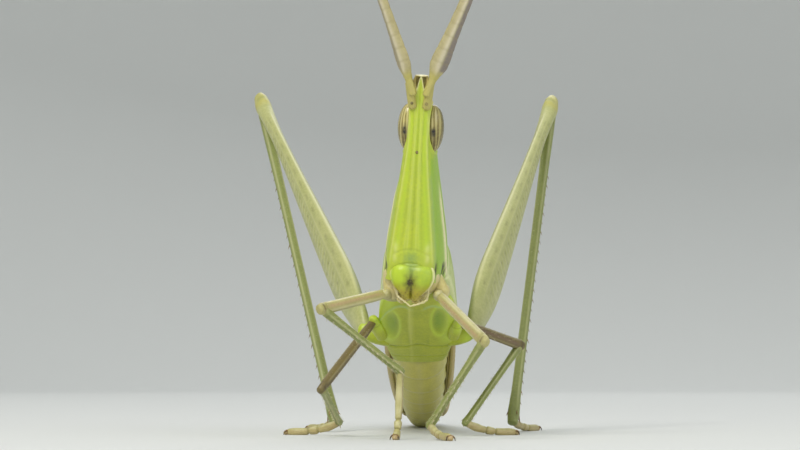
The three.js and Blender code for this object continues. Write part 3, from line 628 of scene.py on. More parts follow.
def make_ocelli():
    """The three small simple eyes: one on the face's middle line, two by the feelers."""
    places = ((0, 0.34, 0.03, 0.12, 0.75), (-0.58, 0.115, -0.3, 0.13, 1.0), (0.58, 0.115, -0.3, 0.13, 0.6))
    beads = [ball(head_point(x, t, depth), (r, r * 0.8, r * 1.15)).mark(tint=brown)
             for x, t, depth, r, brown in places]
    piece("ocelli", beads, EYE_SHELL, "eye_amber")


# ---------------------------------------------------------------- rods: feelers, palps and legs
def bezier(a, b, c, t):
    t = np.asarray(t, float)[..., None]
    return a * (1 - t) ** 2 + b * 2 * t * (1 - t) + c * t * t


def rod(path, wide, half_width, half_height, sides, power=2.0, **marks):
    """A sleeve along a path of points, with its half width along wide and half height across it."""
    along = unit(np.gradient(path, axis=0))
    up = unit(np.cross(along, wide))
    side = unit(np.cross(up, along))
    angle = round_of(sides)[None]
    half_width, half_height = (np.broadcast_to(np.asarray(v, float), len(path))[:, None]
                               for v in (half_width, half_height))
    x, z = rounded(angle, half_width, half_height, power)
    rings = path[:, None] + side[:, None] * x[..., None] + up[:, None] * z[..., None]
    return Skin(rings, **marks)


FEELERS = (
    dict(name="feeler_right", side=-1, out=21 * TURN, bow=-0.9, turn=52 * TURN),
    dict(name="feeler_left", side=1, out=23.5 * TURN, bow=0, turn=28 * TURN),
)
FEELER_WIDTH = [(0, 0.3), (0.05, 0.34), (0.075, 0.5), (0.11, 0.8), (0.14, 0.82), (0.2, 0.7), (0.28, 0.6),
                (0.45, 0.5), (0.8, 0.32), (1, 0.25)]
FEELER_JOINTS = 19


def make_feeler(name, side, out, bow, turn):
    """A sword-shaped feeler: a short stout root, a ring, and a flat jointed blade with a keel."""
    root = head_point(side * 0.52, 0.075, -0.32)
    reach = unit(vec(side * math.sin(out), -0.1, math.cos(out)))
    end = root + reach * FEELER_LENGTH
    bend = mix(root, end, 0.5) + vec(side * bow, -0.6, 0)
    t = np.linspace(0, 1, 420)
    blade = vec(math.cos(turn), side * math.sin(turn), 0)
    joint = beats((t - 0.075) / 0.925 * FEELER_JOINTS, 0.1) * (t > 0.07)
    neck = hill(t, 0.055, 0.01)
    width = profile(FEELER_WIDTH, t) * (1 - 0.02 * joint - 0.08 * neck)
    thick = mix(0.33, 0.24, t) * (1 - 0.03 * joint - 0.08 * neck)
    sides = 40
    skin = rod(bezier(root, bend, end, t), blade, width, thick, sides, 1.7)
    outward = side * np.cos(round_of(sides)[None])
    keel = hill(outward, -0.25, 0.3) * smooth(0.05, 0.1, t)[:, None]
    # painted shade: the outer half of the blade is tinted grey-mauve, more on the left feeler, on the shaded
    # side
    brim = smooth(-0.05, 0.35, outward) * smooth(0.085, 0.1, t)[:, None] * mix(0.45, 1, side > 0)
    inner = hill(outward, -0.97, 0.06) * smooth(0.08, 0.12, t)[:, None]
    skin.relief(0.06 * keel - 0.012 * joint[:, None] * np.abs(outward))
    skin.mark(pale=keel * 0.9, ochre=smooth(0.1, 0.06, t)[:, None], tint=brim,
              deep=0.45 * joint[:, None] + 0.6 * inner, dark=0.25 * neck[:, None])
    skin.dome(start=0.2, end=0.2)
    stem = head_point(side * 0.56, 0.135, 0.05)
    base = rod(mix(stem, root + reach * 0.9, np.linspace(0, 1, 12)[:, None]), vec(1, 0, 0),
               np.linspace(0.36, 0.3, 12), 0.34, 24, ochre=1.0)
    piece(f"{name}_blade", [skin, base.dome(0.3, 0.1)], FEELER_SHELL, "feeler_tan", name)


# ---------------------------------------------------------------- mouth
def make_lip():
    """The upper lip: a shield of two round lobes with a groove between, notched below."""
    v = np.linspace(0, 1, 90)[:, None]
    angle = round_of(160, -math.pi / 2)[None]
    half = profile([(0, 1.1), (0.1, 1.55), (0.35, 1.8), (0.6, 1.62), (0.82, 1.12), (1, 0.5)], v)
    bulge = profile([(0, 0.5), (0.3, 0.78), (0.6, 0.8), (0.85, 0.6), (1, 0.3)], v)
    x, d = rounded(angle, half, bulge, 2.4)
    t = mix(0.832, 0.998, v) - 0.012 * hill(x, 0, 0.3) * smooth(0.75, 1, v)
    front = head_ruler(t)[0]
    rings = front + FACE_BACK * (0.55 + d)[..., None] + (x + LIP_SHIFT)[..., None] * vec(1, 0, 0)
    ax, facing = np.abs(x), smooth(0.1, -0.3, d)
    groove = hill(x, 0, 0.1) * smooth(0.15, 0.4, v) * facing
    lobes = hill(ax, 0.52 * half, 0.4 * half) * smooth(0.02, 0.25, v) * facing
    brim = smooth(0.88 * half, 0.98 * half, ax) * facing
    across, down = (x + 0.05) / 0.42, (v - 0.56) / 0.2
    rays = 0.9 + 0.25 * np.cos(7 * np.arctan2(down, across) + 1)
    stain = np.exp(-(across**2 + down**2) * rays) + 0.5 * hill(x, 0, 0.1) * hill(v, 0.85, 0.12)
    specks = np.clip(np.sin(x * 21) * np.sin(v * 44), 0, 1) ** 3 * smooth(0.7, 0.85, v) * 0.5
    crown = hill(v, 0.05 + 0.09 * hill(x, 0, 0.75), 0.02) * facing  # the lobes' top edge, heart-shaped
    skin = Skin(rings).relief(0.2 * lobes - 0.14 * groove - 0.05 * hill(ax / half, 0.9, 0.05) * facing
                              - 0.06 * crown)
    # painted light and shade: the lobe on the animal's right, the lit side, is painted lime, the left lobe
    # leaf green
    skin.mark(lime=smooth(0.1, -0.5, x) * facing * smooth(0.8, 0.5, v),
              cheek=0.35 * smooth(0.2, 0.7, x) * facing * smooth(0.8, 0.5, v),
              tint=0.9 * hill(x, 0, mix(0.75, 0.4, smooth(0, 0.2, v))) * smooth(0.55, 0.2, v) * facing,
              ochre=smooth(0.5, 0.85, v) * facing, cream=brim * mix(0.5, 1, smooth(0, 0.5, x)),
              deep=0.4 * groove + 0.4 * crown, dark=(stain + specks) * facing)
    skin.dome(start=0.12, end=0.12)
    skin.rings = head_turn(skin.rings)
    piece("upper_lip_shield", [skin], FACE_SHELL, "leaf_green", "upper_lip")


def face_rod(places, girth, flat=1.0, count=40, sides=28, **marks):
    """A rod through face places (x, t, depth), with its girth at each of them."""
    *place, width = through([(*place, size) for place, size in zip(places, girth)], count).T
    return rod(head_point(*place), vec(0, 1, 0), width * flat, width, sides, 2.2, **marks)


# face places of the slim inner lobes, from the upper lip's middle line: the animal's left one is folded
# square, the right one hangs straight
LOBES = {-1: ((-1.2, 0.978, 0.5), (-1.04, 1.006, 0.4), (-0.5, 1.024, 0.32), (-0.05, 1.043, 0.32)),
         1: ((1.36, 0.968, 0.5), (1.26, 1.012, 0.4), (0.7, 1.03, 0.32), (0.05, 1.043, 0.32))}


def make_jaws():
    """Jaws tucked in beside the lip, slim inner lobes that meet in a V below it, and the under lip."""
    skins = []
    along = np.linspace(0, 1, 40)
    ripple = np.sin(np.linspace(0, 9, 40))[:, None]
    crumple = np.sin(np.linspace(0, 34, 40))[:, None] * np.cos(round_of(28) * 2)[None]
    for side in (-1, 1):
        fold = (head_point(side * 1.86, 0.93, 1.8), head_point(side * 1.92, 0.96, 1.95),
                trunk_point(side * 2.0, 0.75, -0.35), trunk_point(side * 2.05, 1.5, 0.2))
        skin = rod(through(fold, 40), vec(0, 1, 0), profile([(0, 0.1), (0.5, 0.6), (1, 0.5)], along),
                   profile([(0, 0.15), (0.5, 0.6), (1, 0.6)], along), 28, 2.2)
        root = smooth(0.16, 0.04, along)[:, None]  # dark skin about the hinge
        skin.mark(pale=0.35 + 0.3 * ripple, tint=0.35, dark=0.8 * root)
        skins.append(skin.relief(0.03 * ripple).dome(0.2, 0.2))
        jaw = face_rod([(side * 1.8, 0.915, 1.35), (side * 1.78, 0.945, 1.3), (side * 1.45, 0.985, 1.2),
                        (side * 0.75, 1.01, 1.1)], (0.3, 0.46, 0.46, 0.3), 1.15)
        jaw.relief(0.02 * ripple).mark(pale=0.25 * (1 + ripple), deep=0.2)
        skins.append(jaw.dome(0.2, 0.2))
        holder = [(side * x + LIP_SHIFT, t, depth) for x, t, depth in
                  ((1.45, 0.963, 0.75), (1.36, 0.975, 0.6), (1.2, 0.995, 0.55), (1.08, 1.015, 0.6))]
        skins.append(face_rod(holder, (0.08, 0.12, 0.12, 0.09), pale=0.4).dome(0.08, 0.08))
        lobe = face_rod([(x + LIP_SHIFT, t, depth) for x, t, depth in LOBES[side]],
                        (0.06, 0.1, 0.08, 0.07), pale=0.8)
        skins.append(lobe.relief(0.02 * crumple).dome(0.06, 0.06))
        under = [(side * 0.55, 0.98, 3.2), (side * 0.6, 1.015, 2.3), (side * 0.5, 1.025, 1.3),
                 (side * 0.4, 1.015, 0.6)]
        skins.append(face_rod(under, (0.5, 0.72, 0.6, 0.32), 1.1, tint=0.8).dome(0.3, 0.2))
    piece("jaws_and_under_lip", skins, MOUTH_SHELL, "straw", "jaws")


def make_palps():
    """Jointed mouth feelers: five short joints on the jaw pair, three on the under-lip pair."""
    for side, name in ((-1, "palp_right"), (1, "palp_left")):
        skins = []
        for places, joints, girth in (
            ([(side * 0.8, 0.98, 2), (side * 0.9, 1.02, 1.65), (side * 0.92, 1.04, 1.1),
              (side * 0.55, 1.035, 0.55)], 5, 0.2),
            ([(side * 0.35, 1.0, 1.6), (side * 0.42, 1.03, 1.1), (side * 0.3, 1.035, 0.6)], 3, 0.14),
        ):
            palp = face_rod(places, [girth] * len(places), count=80, sides=24)
            beat = np.linspace(0, joints, 80)[:, None]
            pinch = beats(beat, 0.13)
            tip = smooth(joints - 0.7, joints, beat)
            palp.relief(-0.3 * girth * pinch)
            skins.append(palp.mark(pale=0.5 * (1 - pinch), deep=0.4 * pinch, tint=0.6 * tip).dome(0.1, 0.12))
        piece(f"{name}_joints", skins, MOUTH_SHELL, "straw", name)


# ---------------------------------------------------------------- trunk: pronotum, thorax and abdomen
PRONOTUM_THICK = 0.55
PRONOTUM_REAR = [(1.05, 8.7), (2.1, 10.6), (4.3, 12), (7.6, 15.6)]  # rear margin: (height, place along)
PRONOTUM_LOW = 1.1


def low_angle(s, low, grow, boxiness):
    """The angle at which the trunk's grown skin comes down to height low on the left side."""
    half = profile(TRUNK_HEIGHT, s) / 2
    rise = (low - half) / (half + grow)
    return np.arcsin(np.sign(rise) * np.abs(rise) ** (boxiness / 2))


def saddle(u, share, grow):
    """The pronotum's skin: u from its front to its rear margin, share from the left low edge to the right."""
    s = mix(2.0, 13.0, u)
    for _ in range(SETTLE):
        low = low_angle(s, PRONOTUM_LOW, grow, 3)
        w, h = trunk_skin(s, mix(low, math.pi - low, share), grow, 3)
        s = mix(neck_line(h), profile(PRONOTUM_REAR, h), u)
    return w, s, h


def make_pronotum():
    u = np.linspace(0, 1, 150)[:, None]
    share = np.linspace(0, 1, 180)[None]
    rear = (1 - u) * 10
    margin = smooth(0, 0.9, rear) * smooth(0, 0.08, u) * smooth(0, 0.03, np.minimum(share, 1 - share))
    w, s, h = saddle(u, share, mix(0.34, PRONOTUM_THICK + GAP, margin))
    inner = saddle(u, share, GAP + 0.04)
    aw = np.abs(w)
    keels = hill(aw, profile([(0, 1.2), (7, 1.0), (16, 1.45)], s), 0.1) * smooth(4.6, 5.6, h)
    crest = hill(w, 0, 0.09) * smooth(5, 6, h)
    furrows = sum(hill(s - 0.25 * np.sin((h - 1) * 0.9), at, 0.1) * deep * smooth(1.6, 2.6, h)
                  for at, deep in ((5.4, 0.6), (7.3, 0.7), (9.6, 1.0)))
    furrows = furrows * (1 - 0.6 * hill(w, 0, 0.4))
    brim = hill(rear, 0.35, 0.2) + hill(h, PRONOTUM_LOW + 0.3, 0.3) + hill(u, 0.02, 0.02)
    height = 0.1 * crest + 0.09 * keels - 0.07 * furrows + 0.05 * brim
    skin = Skin(sheets(trunk_point(w, s, h), trunk_point(*inner)), plate=True).relief(sheets(height, 0))
    skin.mark(pale=sheets(0.85 * keels + 0.35 * crest + 0.75 * brim, 0), deep=sheets(0.6 * furrows, 0),
              tint=sheets(0.85 * smooth(4.6, 2.5, h), 0))
    piece("pronotum_shield", [skin], BACK_SHELL, "leaf_green", "pronotum")


BREAST_WIDTH = [(1.2, 1.3), (2.4, 2.35), (4, 2.95), (7, 3.2), (10, 3), (13.2, 2.5), (14.4, 2.2)]
BREAST_RISE = (-0.05, 0.93)


def breast_plate():
    """The broad shield under the thorax, between the coxae."""
    low, high = BREAST_RISE
    s = np.linspace(1.2, THORAX_END - 0.05, 120)[:, None]
    angle = round_of(160)[None]
    w, h = rounded(angle, profile(BREAST_WIDTH, s), (high - low) / 2, 3)
    return w, s, (low + high) / 2 + h


def breast_relief(w, s, h, half):
    """Height and marks of the thorax's underside: dips, lobes, seams and the middle line."""
    aw = np.abs(w)
    below = smooth(1.3, 0.5, h)
    collar = hill(s, 3.9 + 0.9 * (aw - 1.3) ** 2, 0.2) * smooth(0.35, 0.6, aw) * below
    # the right lobe lies further out and further back than the left one
    lens = np.hypot((aw - mix(2.2, 1.8, w > 0)) / 0.72, (s - mix(7.3, 6.7, w > 0)) / 2.5)
    bowls = smooth(1.15, 0.3, lens) * below
    ring = hill(lens, 1.0, 0.16) * below
    seams = (hill(s, 11.3 - 0.5 * hill(aw, 0, 0.8), 0.12) + 0.5 * hill(s, 13.1, 0.1)) * below
    lobes = hill(aw, 0.75, 0.07) * smooth(8.2, 8.8, s) * smooth(11.1, 10.4, s) * below
    middle = hill(w, -0.6, 0.14) * below * (1 - 0.6 * smooth(8, 11, s))
    rim = smooth(0.45 * half, 0.8 * half, aw) * smooth(11.5, 9.5, s) * smooth(2, 3.5, s)
    height = 0.06 * collar - 0.2 * bowls + 0.03 * ring - 0.08 * seams - 0.06 * lobes + 0.03 * middle
    marks = dict(pale=0.9 * middle, band=0.6 * collar, tint=0.85 * bowls,
                 deep=0.2 * bowls + 0.5 * seams + 0.45 * lobes,
                 lime=np.maximum(rim * (1 - 0.5 * bowls), 0.9 * ring))
    return height, marks


def make_thorax():
    u = np.linspace(0, 1, 190)[:, None]
    angle = round_of(200, -math.pi / 2)[None]
    s = mix(1.0, THORAX_END, u)
    for _ in range(SETTLE):
        w, h = trunk_skin(s, angle, 0, 2.4)
        s = mix(neck_line(h), THORAX_END, u)
    side = smooth(0.8, 1.6, h)
    pleura = sum(hill(s - 0.42 * (h - 1), at, 0.1) for at in (8.9, 10.6, 12.3)) * side
    height, marks = breast_relief(w, s, h, profile(TRUNK_WIDTH, s))
    trunk = Skin(trunk_point(w, s, h)).relief(height - 0.1 * pleura)
    marks["deep"] = marks["deep"] + 0.6 * pleura
    marks["tint"] = marks["tint"] + 0.5 * smooth(0.9, 1.8, h)
    trunk.mark(**marks)
    w, s, h = breast_plate()
    height, marks = breast_relief(w, s, h, profile(BREAST_WIDTH, s))
    plate = Skin(trunk_point(w, s, h)).relief(height).mark(**marks)
    piece("thorax_shell", [trunk.dome(start=0.1, end=0.1), plate.dome(start=0.3, end=0.2)], BREAST_SHELL,
          "breast_green", "thorax")


SEGMENTS = 9


def make_abdomen():
    """Nine overlapping rings: each back plate folds over its belly plate low on the side."""
    length = ABDOMEN_END - THORAX_END - GAP
    fraction = np.linspace(0, 1, 18)
    step = (np.arange(SEGMENTS)[:, None] + mix(0.005, 0.995, fraction)).reshape(-1, 1)
    number, within = np.floor(step), step - np.floor(step)
    s = THORAX_END + GAP + step / SEGMENTS * length
    swell = mix(-0.12, 0.1, within**0.7) * mix(1, 0.6, number / SEGMENTS)
    angle = round_of(176, -math.pi / 2)[None]
    w, h = trunk_skin(s, angle, swell, 2.2)
    half = profile(TRUNK_HEIGHT, s) / 2
    level = (h - half) / half
    fold = hill(level, -0.42, 0.045)
    belly = smooth(-0.42, -0.5, level)
    edge = smooth(0.86, 0.98, within)
    root = smooth(0.2, 0.02, within)
    breath = hill(level, -0.3, 0.05) * hill(within, 0.3, 0.07)
    middle = hill(w, 0, 0.28) * belly
    skin = Skin(trunk_point(w, s, h))
    skin.relief(-0.1 * fold + 0.03 * edge - 0.08 * breath + 0.02 * middle * (1 - edge))
    skin.mark(pale=0.5 * edge + 0.35 * middle, deep=0.7 * fold + 0.5 * root, dark=0.8 * breath,
              tint=0.5 * belly * hill(level, -0.8, 0.3))
    piece("abdomen_rings", [skin.dome(start=0.05, end=0.5).press(0)], BELLY_SHELL, "belly_green", "abdomen")


def trunk_rod(places, girth, flat=1.0, **marks):
    """A rod through trunk places (w, s, h)."""
    *place, width = through([(*place, size) for place, size in zip(places, girth)], 30).T
    return rod(trunk_point(*place), vec(1, 0, 0), width * flat, width, 24, 2.2, **marks)


def make_tail():
    """Two pairs of horn hooks that dig the egg hole, two short tail feelers and the plate over them."""
    hooks = []
    tip = smooth(0.6, 1, np.linspace(0, 1, 30))[:, None]
    for side in (-1, 1):
        x = side * 0.42
        for places in (((x, 47.8, 1.55), (x, 49.4, 1.5), (x * 0.9, 50.35, 2.0)),
                       ((x, 47.8, 0.75), (x, 49.4, 0.7), (x * 0.9, 50.25, 0.36))):
            hooks.append(trunk_rod(places, (0.42, 0.4, 0.12), 0.95, dark=tip, tint=0.4).dome(0.1, 0.08))
        horn = ((side * 0.95, 47.4, 1.9), (side * 1.02, 48.2, 1.95), (side * 1.0, 49.0, 1.85))
        hooks.append(trunk_rod(horn, (0.24, 0.2, 0.07), tint=0.2).dome(0.1, 0.05))
    plate = ((0, 46.9, 2.15), (0, 48, 2.1), (0, 49.1, 1.95))
    hooks.append(trunk_rod(plate, (0.16, 0.14, 0.08), 3.6, pale=0.3).dome(0.1, 0.08))
    piece("egg_hooks_and_tail", [hook.press(0.005) for hook in hooks], STRAW_SHELL, "straw", "egg_valves")


# ---------------------------------------------------------------- wings
WING_LIFT = GAP + 0.15
WING_THICK = 0.5
WING_BOX = 2.3
WING_LOW = [(9, 3.9), (14, 2.9), (22, 1.7), (34, 1.35), (46, 1.1), (52, 1.3), (55.5, 1.75)]
WING_VEINS = (  # share of the wing's width from its top edge, at the root, the middle and the tip
    (0.06, 0.05, 0.04), (0.16, 0.17, 0.22), (0.3, 0.34, 0.42), (0.42, 0.45, 0.5), (0.5, 0.55, 0.6),
    (0.58, 0.68, 0.72), (0.68, 0.8, 0.84), (0.84, 0.92, 0.93),
)
CELL = 0.75  # length of a wing cell between two cross veins


def wing_sheet(s, share, grow, side):
    """Places of a sheet along the body; share runs from 0 at its top edge to 1 at its low edge."""
    low = low_angle(s, profile(WING_LOW, s), grow, WING_BOX)
    high = np.arccos((0.06 / (profile(TRUNK_WIDTH, s) + grow)) ** (WING_BOX / 2))
    w, h = trunk_skin(s, mix(high, low, share), grow, WING_BOX)
    return side * w, s, h


def make_wing(side, name):
    s = np.linspace(WING_START, WING_END, 430)[:, None]
    share = np.linspace(0, 1, 72)[None]
    at = (s - WING_START) / (WING_END - WING_START)
    _, _, h = wing_sheet(s, share, 0.4, side)
    clear = smooth(0.1, 1.5, s - profile(PRONOTUM_REAR, h))
    thin = profile([(0, 1), (0.9, 1), (1, 0.6)], at)
    brim = smooth(0, 0.05, share) * smooth(0, 0.05, 1 - share)
    outer = wing_sheet(s, share, WING_LIFT + WING_THICK * thin * mix(0.25, mix(0.55, 1, brim), clear), side)
    inner = wing_sheet(s, share, WING_LIFT, side)
    lines = [profile([(0, a), (0.5, b), (1, c)], at) for a, b, c in WING_VEINS]
    veins = sum(hill(share, line, 0.011) for line in lines)
    cells = np.zeros_like(veins)
    for number, (a, b) in enumerate(zip((0, *lines), (*lines, 1))):
        wave = s / CELL + 1.7 * share * (1 if number % 2 else -1) + 0.37 * number + 0.12 * np.sin(s * 3.1)
        cells += (share > a) * (share <= b) * beats(wave, 0.1)
    plain = 1 - np.clip(veins + cells, 0, 1)
    skin = Skin(sheets(trunk_point(*outer), trunk_point(*inner)), plate=True)
    skin.relief(sheets(0.045 * veins + 0.02 * cells, 0))
    skin.mark(pale=sheets(0.7 * veins + 0.3 * cells, 0), brown=sheets(smooth(0.9, 0.97, share), 0.8),
              deep=sheets(0.25 * plain * smooth(0.4, 0.8, share), 0),
              tint=sheets(0.7 * smooth(0.12, 0, share), 0))
    piece(f"forewing_{name}_sheet", [skin], WING_SHELL, "wing_green", f"forewing_{name}")
    # the folded hind wing shows as a dry edge between forewing and belly
    s = np.linspace(THORAX_END - 0.5, 53, 260)[:, None]
    share = np.linspace(0.72, 0.985, 24)[None]
    pleats = 0.025 * np.sin(share * 190)
    outer = trunk_point(*wing_sheet(s, share, WING_LIFT - 0.03 + pleats * 0.5, side))
    inner = trunk_point(*wing_sheet(s, share, 0.06, side))
    fold = Skin(sheets(outer, inner), plate=True, deep=np.tile(0.5 + 20 * pleats, 2))
    piece(f"hind_wing_fold_{name}", [fold], FOLD_SKIN, "wing_green")


# ---------------------------------------------------------------- legs
# row is the number of spines in one row on the shin, first the place where the row begins, from 0 at the knee
# to 1 at the ankle, and spine a spine's length and girth
FORE = dict(thigh=8.1, shin=8.7, girth=1, coxa=0.62, hip=0.8, row=8, first=0.42, spine=(0.34, 0.05))
MIDDLE = dict(thigh=8.4, shin=8.8, girth=0.92, coxa=0.66, hip=0.8, row=8, first=0.42, spine=(0.34, 0.05))
HIND = dict(thigh=39, shin=37, girth=1.5, coxa=0.88, hip=1, row=24, first=0.22, spine=(0.62, 0.085))
# roots and hips in trunk measures, ankles in place; the knee swings round the line from hip to ankle;
# last come the way the foot points and how far it reaches along the floor
LEGS = (
    ("fore_right", FORE, (-1.9, 2.6, 0.2), (-2.45, 0.15, -0.9), (-1.235, -1.731, 5.333), 70.49,
     (-0.2, -0.98), 1.6),
    ("fore_left", FORE, (1.9, 2.6, 0.2), (1.75, 0.25, -0.95), (1.128, -1.775, 1.1), -51.15,
     (0.35, -0.94), 4.6),
    ("middle_right", MIDDLE, (-3.1, 9.2, 0.1), (-3.6, 7, 0.2), (-6.644, 10.325, 1.1), -118.55,
     (-0.95, 0.3), 4.8),
    ("middle_left", MIDDLE, (2.95, 9.2, 0.1), (3.25, 7.2, 0.2), (3.936, 9.7, 1.1), 27.73,
     (0.9, 0.43), 4.8),
    ("hind_right", HIND, (-2.6, 11.2, 0.9), (-4.5, 11, 1.4), (-7.65, 21.7, 1), -4, (-0.42, 0.9), 6.4),
    ("hind_left", HIND, (2.6, 11.2, 0.9), (4.5, 11, 1.4), (8.1, 21.4, 1), -4, (0.38, 0.92), 6.4),
)
JUMPING_DEPTH = [(0, 0.7), (0.04, 1.35), (0.16, 2.1), (0.3, 1.9), (0.6, 1.2), (0.85, 0.78), (0.93, 0.8),
                 (0.97, 1.05), (1, 0.75)]
JUMPING_THICK = [(0, 0.55), (0.16, 0.9), (0.4, 0.8), (0.8, 0.5), (0.96, 0.75), (1, 0.55)]
WALKING_DEPTH = [(0, 0.36), (0.15, 0.42), (0.5, 0.44), (0.85, 0.47), (0.95, 0.5), (1, 0.4)]
WALKING_THICK = [(0, 0.33), (0.2, 0.39), (0.85, 0.38), (1, 0.33)]
SHIN_DEPTH = [(0, 0.29), (0.05, 0.34), (0.3, 0.28), (0.9, 0.28), (0.97, 0.34), (1, 0.29)]
FOOT_PADS = [(0, 0.29), (0.15, 0.31), (0.3, 0.34), (0.44, 0.29), (0.56, 0.34), (0.68, 0.29), (0.92, 0.34),
             (1, 0.29)]
RIB_STEP, DOT_STEP, BLOT_STEP = 0.85, 1.55, 2.4  # spacing of the hind thigh's slanting ribs, dots and blots


def knee_of(hip, ankle, thigh, shin, swing):
    """Thigh and shin make a triangle over the line from hip to ankle, swung from upright."""
    line = ankle - hip
    span = np.linalg.norm(line)
    along = line / span
    foot = (span * span + thigh * thigh - shin * shin) / (2 * span)
    rise = math.sqrt(thigh * thigh - foot * foot)
    upright = unit(vec(0, 0, 1) - along * along[2])
    sideways = np.cross(along, upright)
    return hip + along * foot + upright * rise * math.cos(swing) + sideways * rise * math.sin(swing)


def stretch(start, end, before, after, t):
    """Points at t along a line that runs past its ends by those lengths."""
    way = unit(end - start)
    return mix(start - way * before, end + way * after, t[:, None])


def hind_thigh(hip, knee, across):
    """A jumping thigh, stout at its root, with keels, ribs, pits and a dark half moon at the knee."""
    t = np.linspace(0, 1, 520)
    sides = 96
    skin = rod(stretch(hip, knee, 0, 0.35, t), across, profile(JUMPING_THICK, t), profile(JUMPING_DEPTH, t),
               sides, 1.9)
    t = t[:, None]
    angle = round_of(sides)[None]
    level, flank = np.abs(np.sin(angle)), np.abs(np.cos(angle))
    shaft = smooth(0.05, 0.12, t) * smooth(0.92, 0.86, t)
    length = t * HIND["thigh"]
    keels = (hill(level, 1, 0.02) + 0.7 * hill(level, 0.62, 0.05)) * shaft
    ribs = beats(length / RIB_STEP - level * 1.1, 0.17) * (level < 0.55) * shaft * smooth(0.55, 0.4, level)
    spine = hill(level, 0, 0.035) * shaft
    dots = beats(length / DOT_STEP, 0.13) * hill(level, 0.3, 0.055) * shaft
    blots = beats(length / BLOT_STEP, 0.2) * hill(level, 0.82, 0.06) * shaft
    moon = hill(t, 0.968, 0.008) * smooth(0.2, 0.7, level)
    skin.relief(0.05 * keels + 0.028 * ribs + 0.02 * spine - 0.05 * dots - 0.05 * moon)
    skin.mark(pale=0.6 * keels + 0.25 * ribs + 0.3 * spine, dark=0.55 * dots + 0.35 * blots,
              tint=0.7 * smooth(0.93, 0.96, t), deep=0.25 * flank * shaft * (1 - ribs) + 0.7 * moon)
    return skin.dome(0.3, 0.25)


def walking_thigh(hip, knee, across, girth):
    """A slim thigh with four keels, a tinted line on either flank and a dark ring at the knee."""
    t = np.linspace(0, 1, 150)
    sides = 48
    skin = rod(stretch(hip, knee, 0, 0.3, t), across, profile(WALKING_THICK, t) * girth,
               profile(WALKING_DEPTH, t) * girth, sides, 2.1)
    t = t[:, None]
    angle = round_of(sides)[None]
    shaft = smooth(0.05, 0.2, t) * smooth(0.95, 0.85, t)
    keels = hill(np.abs(np.sin(2 * angle)), 1, 0.12) * shaft
    line = hill(np.abs(np.sin(angle)), 0, 0.3) * shaft
    moon = hill(t, 0.93, 0.015)
    spot = hill(t, 0.965, 0.012) * hill(np.abs(np.cos(angle)), 1, 0.35)
    skin.relief(0.025 * keels - 0.03 * moon)
    skin.mark(pale=0.6 * keels, tint=0.7 * line, deep=0.5 * moon, dark=0.7 * spot)
    return skin.dome(0.2, 0.18)


def shin(knee, ankle, across, girth, count):
    """A straight four-keeled shin with a collar at either end."""
    t = np.linspace(0, 1, count)
    width = profile(SHIN_DEPTH, t) * girth
    sides = 36
    skin = rod(stretch(knee, ankle, 0, 0.2, t), across, width, width, sides, 2.3)
    t = t[:, None]
    angle = round_of(sides)[None]
    keels = hill(np.abs(np.sin(2 * angle)), 1, 0.15) * smooth(0.03, 0.1, t) * smooth(0.98, 0.92, t)
    collar = hill(t, 0.05, 0.01) + hill(t, 0.975, 0.012)
    skin.relief(0.025 * keels + 0.02 * collar)
    skin.mark(pale=0.6 * keels, tint=0.6 * hill(t, 0, 0.06),
              deep=0.5 * hill(t, 0.075, 0.012) + 0.4 * hill(np.sin(angle), -1, 0.35))
    return skin.dome(0.2, 0.15)


def make_foot(ankle, toe, length):
    """Three foot joints with soft pads, an end pad and two claws."""
    way = unit(vec(*toe, 0))
    rest = 0.32 - FOOT_FLAT
    touch, end = ((ankle + way * length * share) * vec(1, 1, 0) + vec(0, 0, rest) for share in (0.3, 0.93))
    t = np.linspace(0, 1, 150)
    sideways = np.cross(way, vec(0, 0, 1))
    pinch = hill(t, 0.5, 0.018) + hill(t, 0.68, 0.018)
    width = profile(FOOT_PADS, t) * (1 - 0.3 * pinch)
    sides = 40
    skin = rod(bezier(ankle, touch, end, t), sideways, width * 0.9, width, sides, 2.2)
    under = smooth(-0.2, -0.7, np.sin(round_of(sides)))[None]
    pads = under * (hill(t, 0.2, 0.08) + hill(t, 0.38, 0.06) + hill(t, 0.58, 0.06))[:, None]
    skin.mark(pale=0.6 * pads, deep=0.8 * pinch[:, None], tint=0.3 * (1 - under))
    pad = ball(end + way * 0.28 - vec(0, 0, 0.06), (0.24, 0.24, 0.2)).mark(tint=0.6)
    parts = [skin.dome(0.1, 0.12), pad]
    claws = []
    for side in (-1, 1):
        hook = bezier(end + vec(0, 0, 0.1), end + way * 0.34 + sideways * side * 0.32 + vec(0, 0, 0.22),
                      end + way * 0.36 + sideways * side * 0.36 - vec(0, 0, 0.2), np.linspace(0, 1, 20))
        claws.append(rod(hook, vec(0, 0, 1), np.linspace(0.1, 0.03, 20), np.linspace(0.12, 0.03, 20), 12,
                         dark=np.linspace(-0.4, 1, 20)[:, None]).dome(0.02, 0.03))
    return [part.press(0) for part in parts], [claw.press(0) for claw in claws]


# ---------------------------------------------------------------- spines and bristles on the legs
SPINE_SIDES = 6
SPINE_TIP = 0.004
SPINE_WOBBLE = 0.2  # spines differ in size by up to this share
SPINE_SEED = 4
SEAT_SIZE = 0.0015  # how far a spine's corners lie round its place on the leg's unwrap


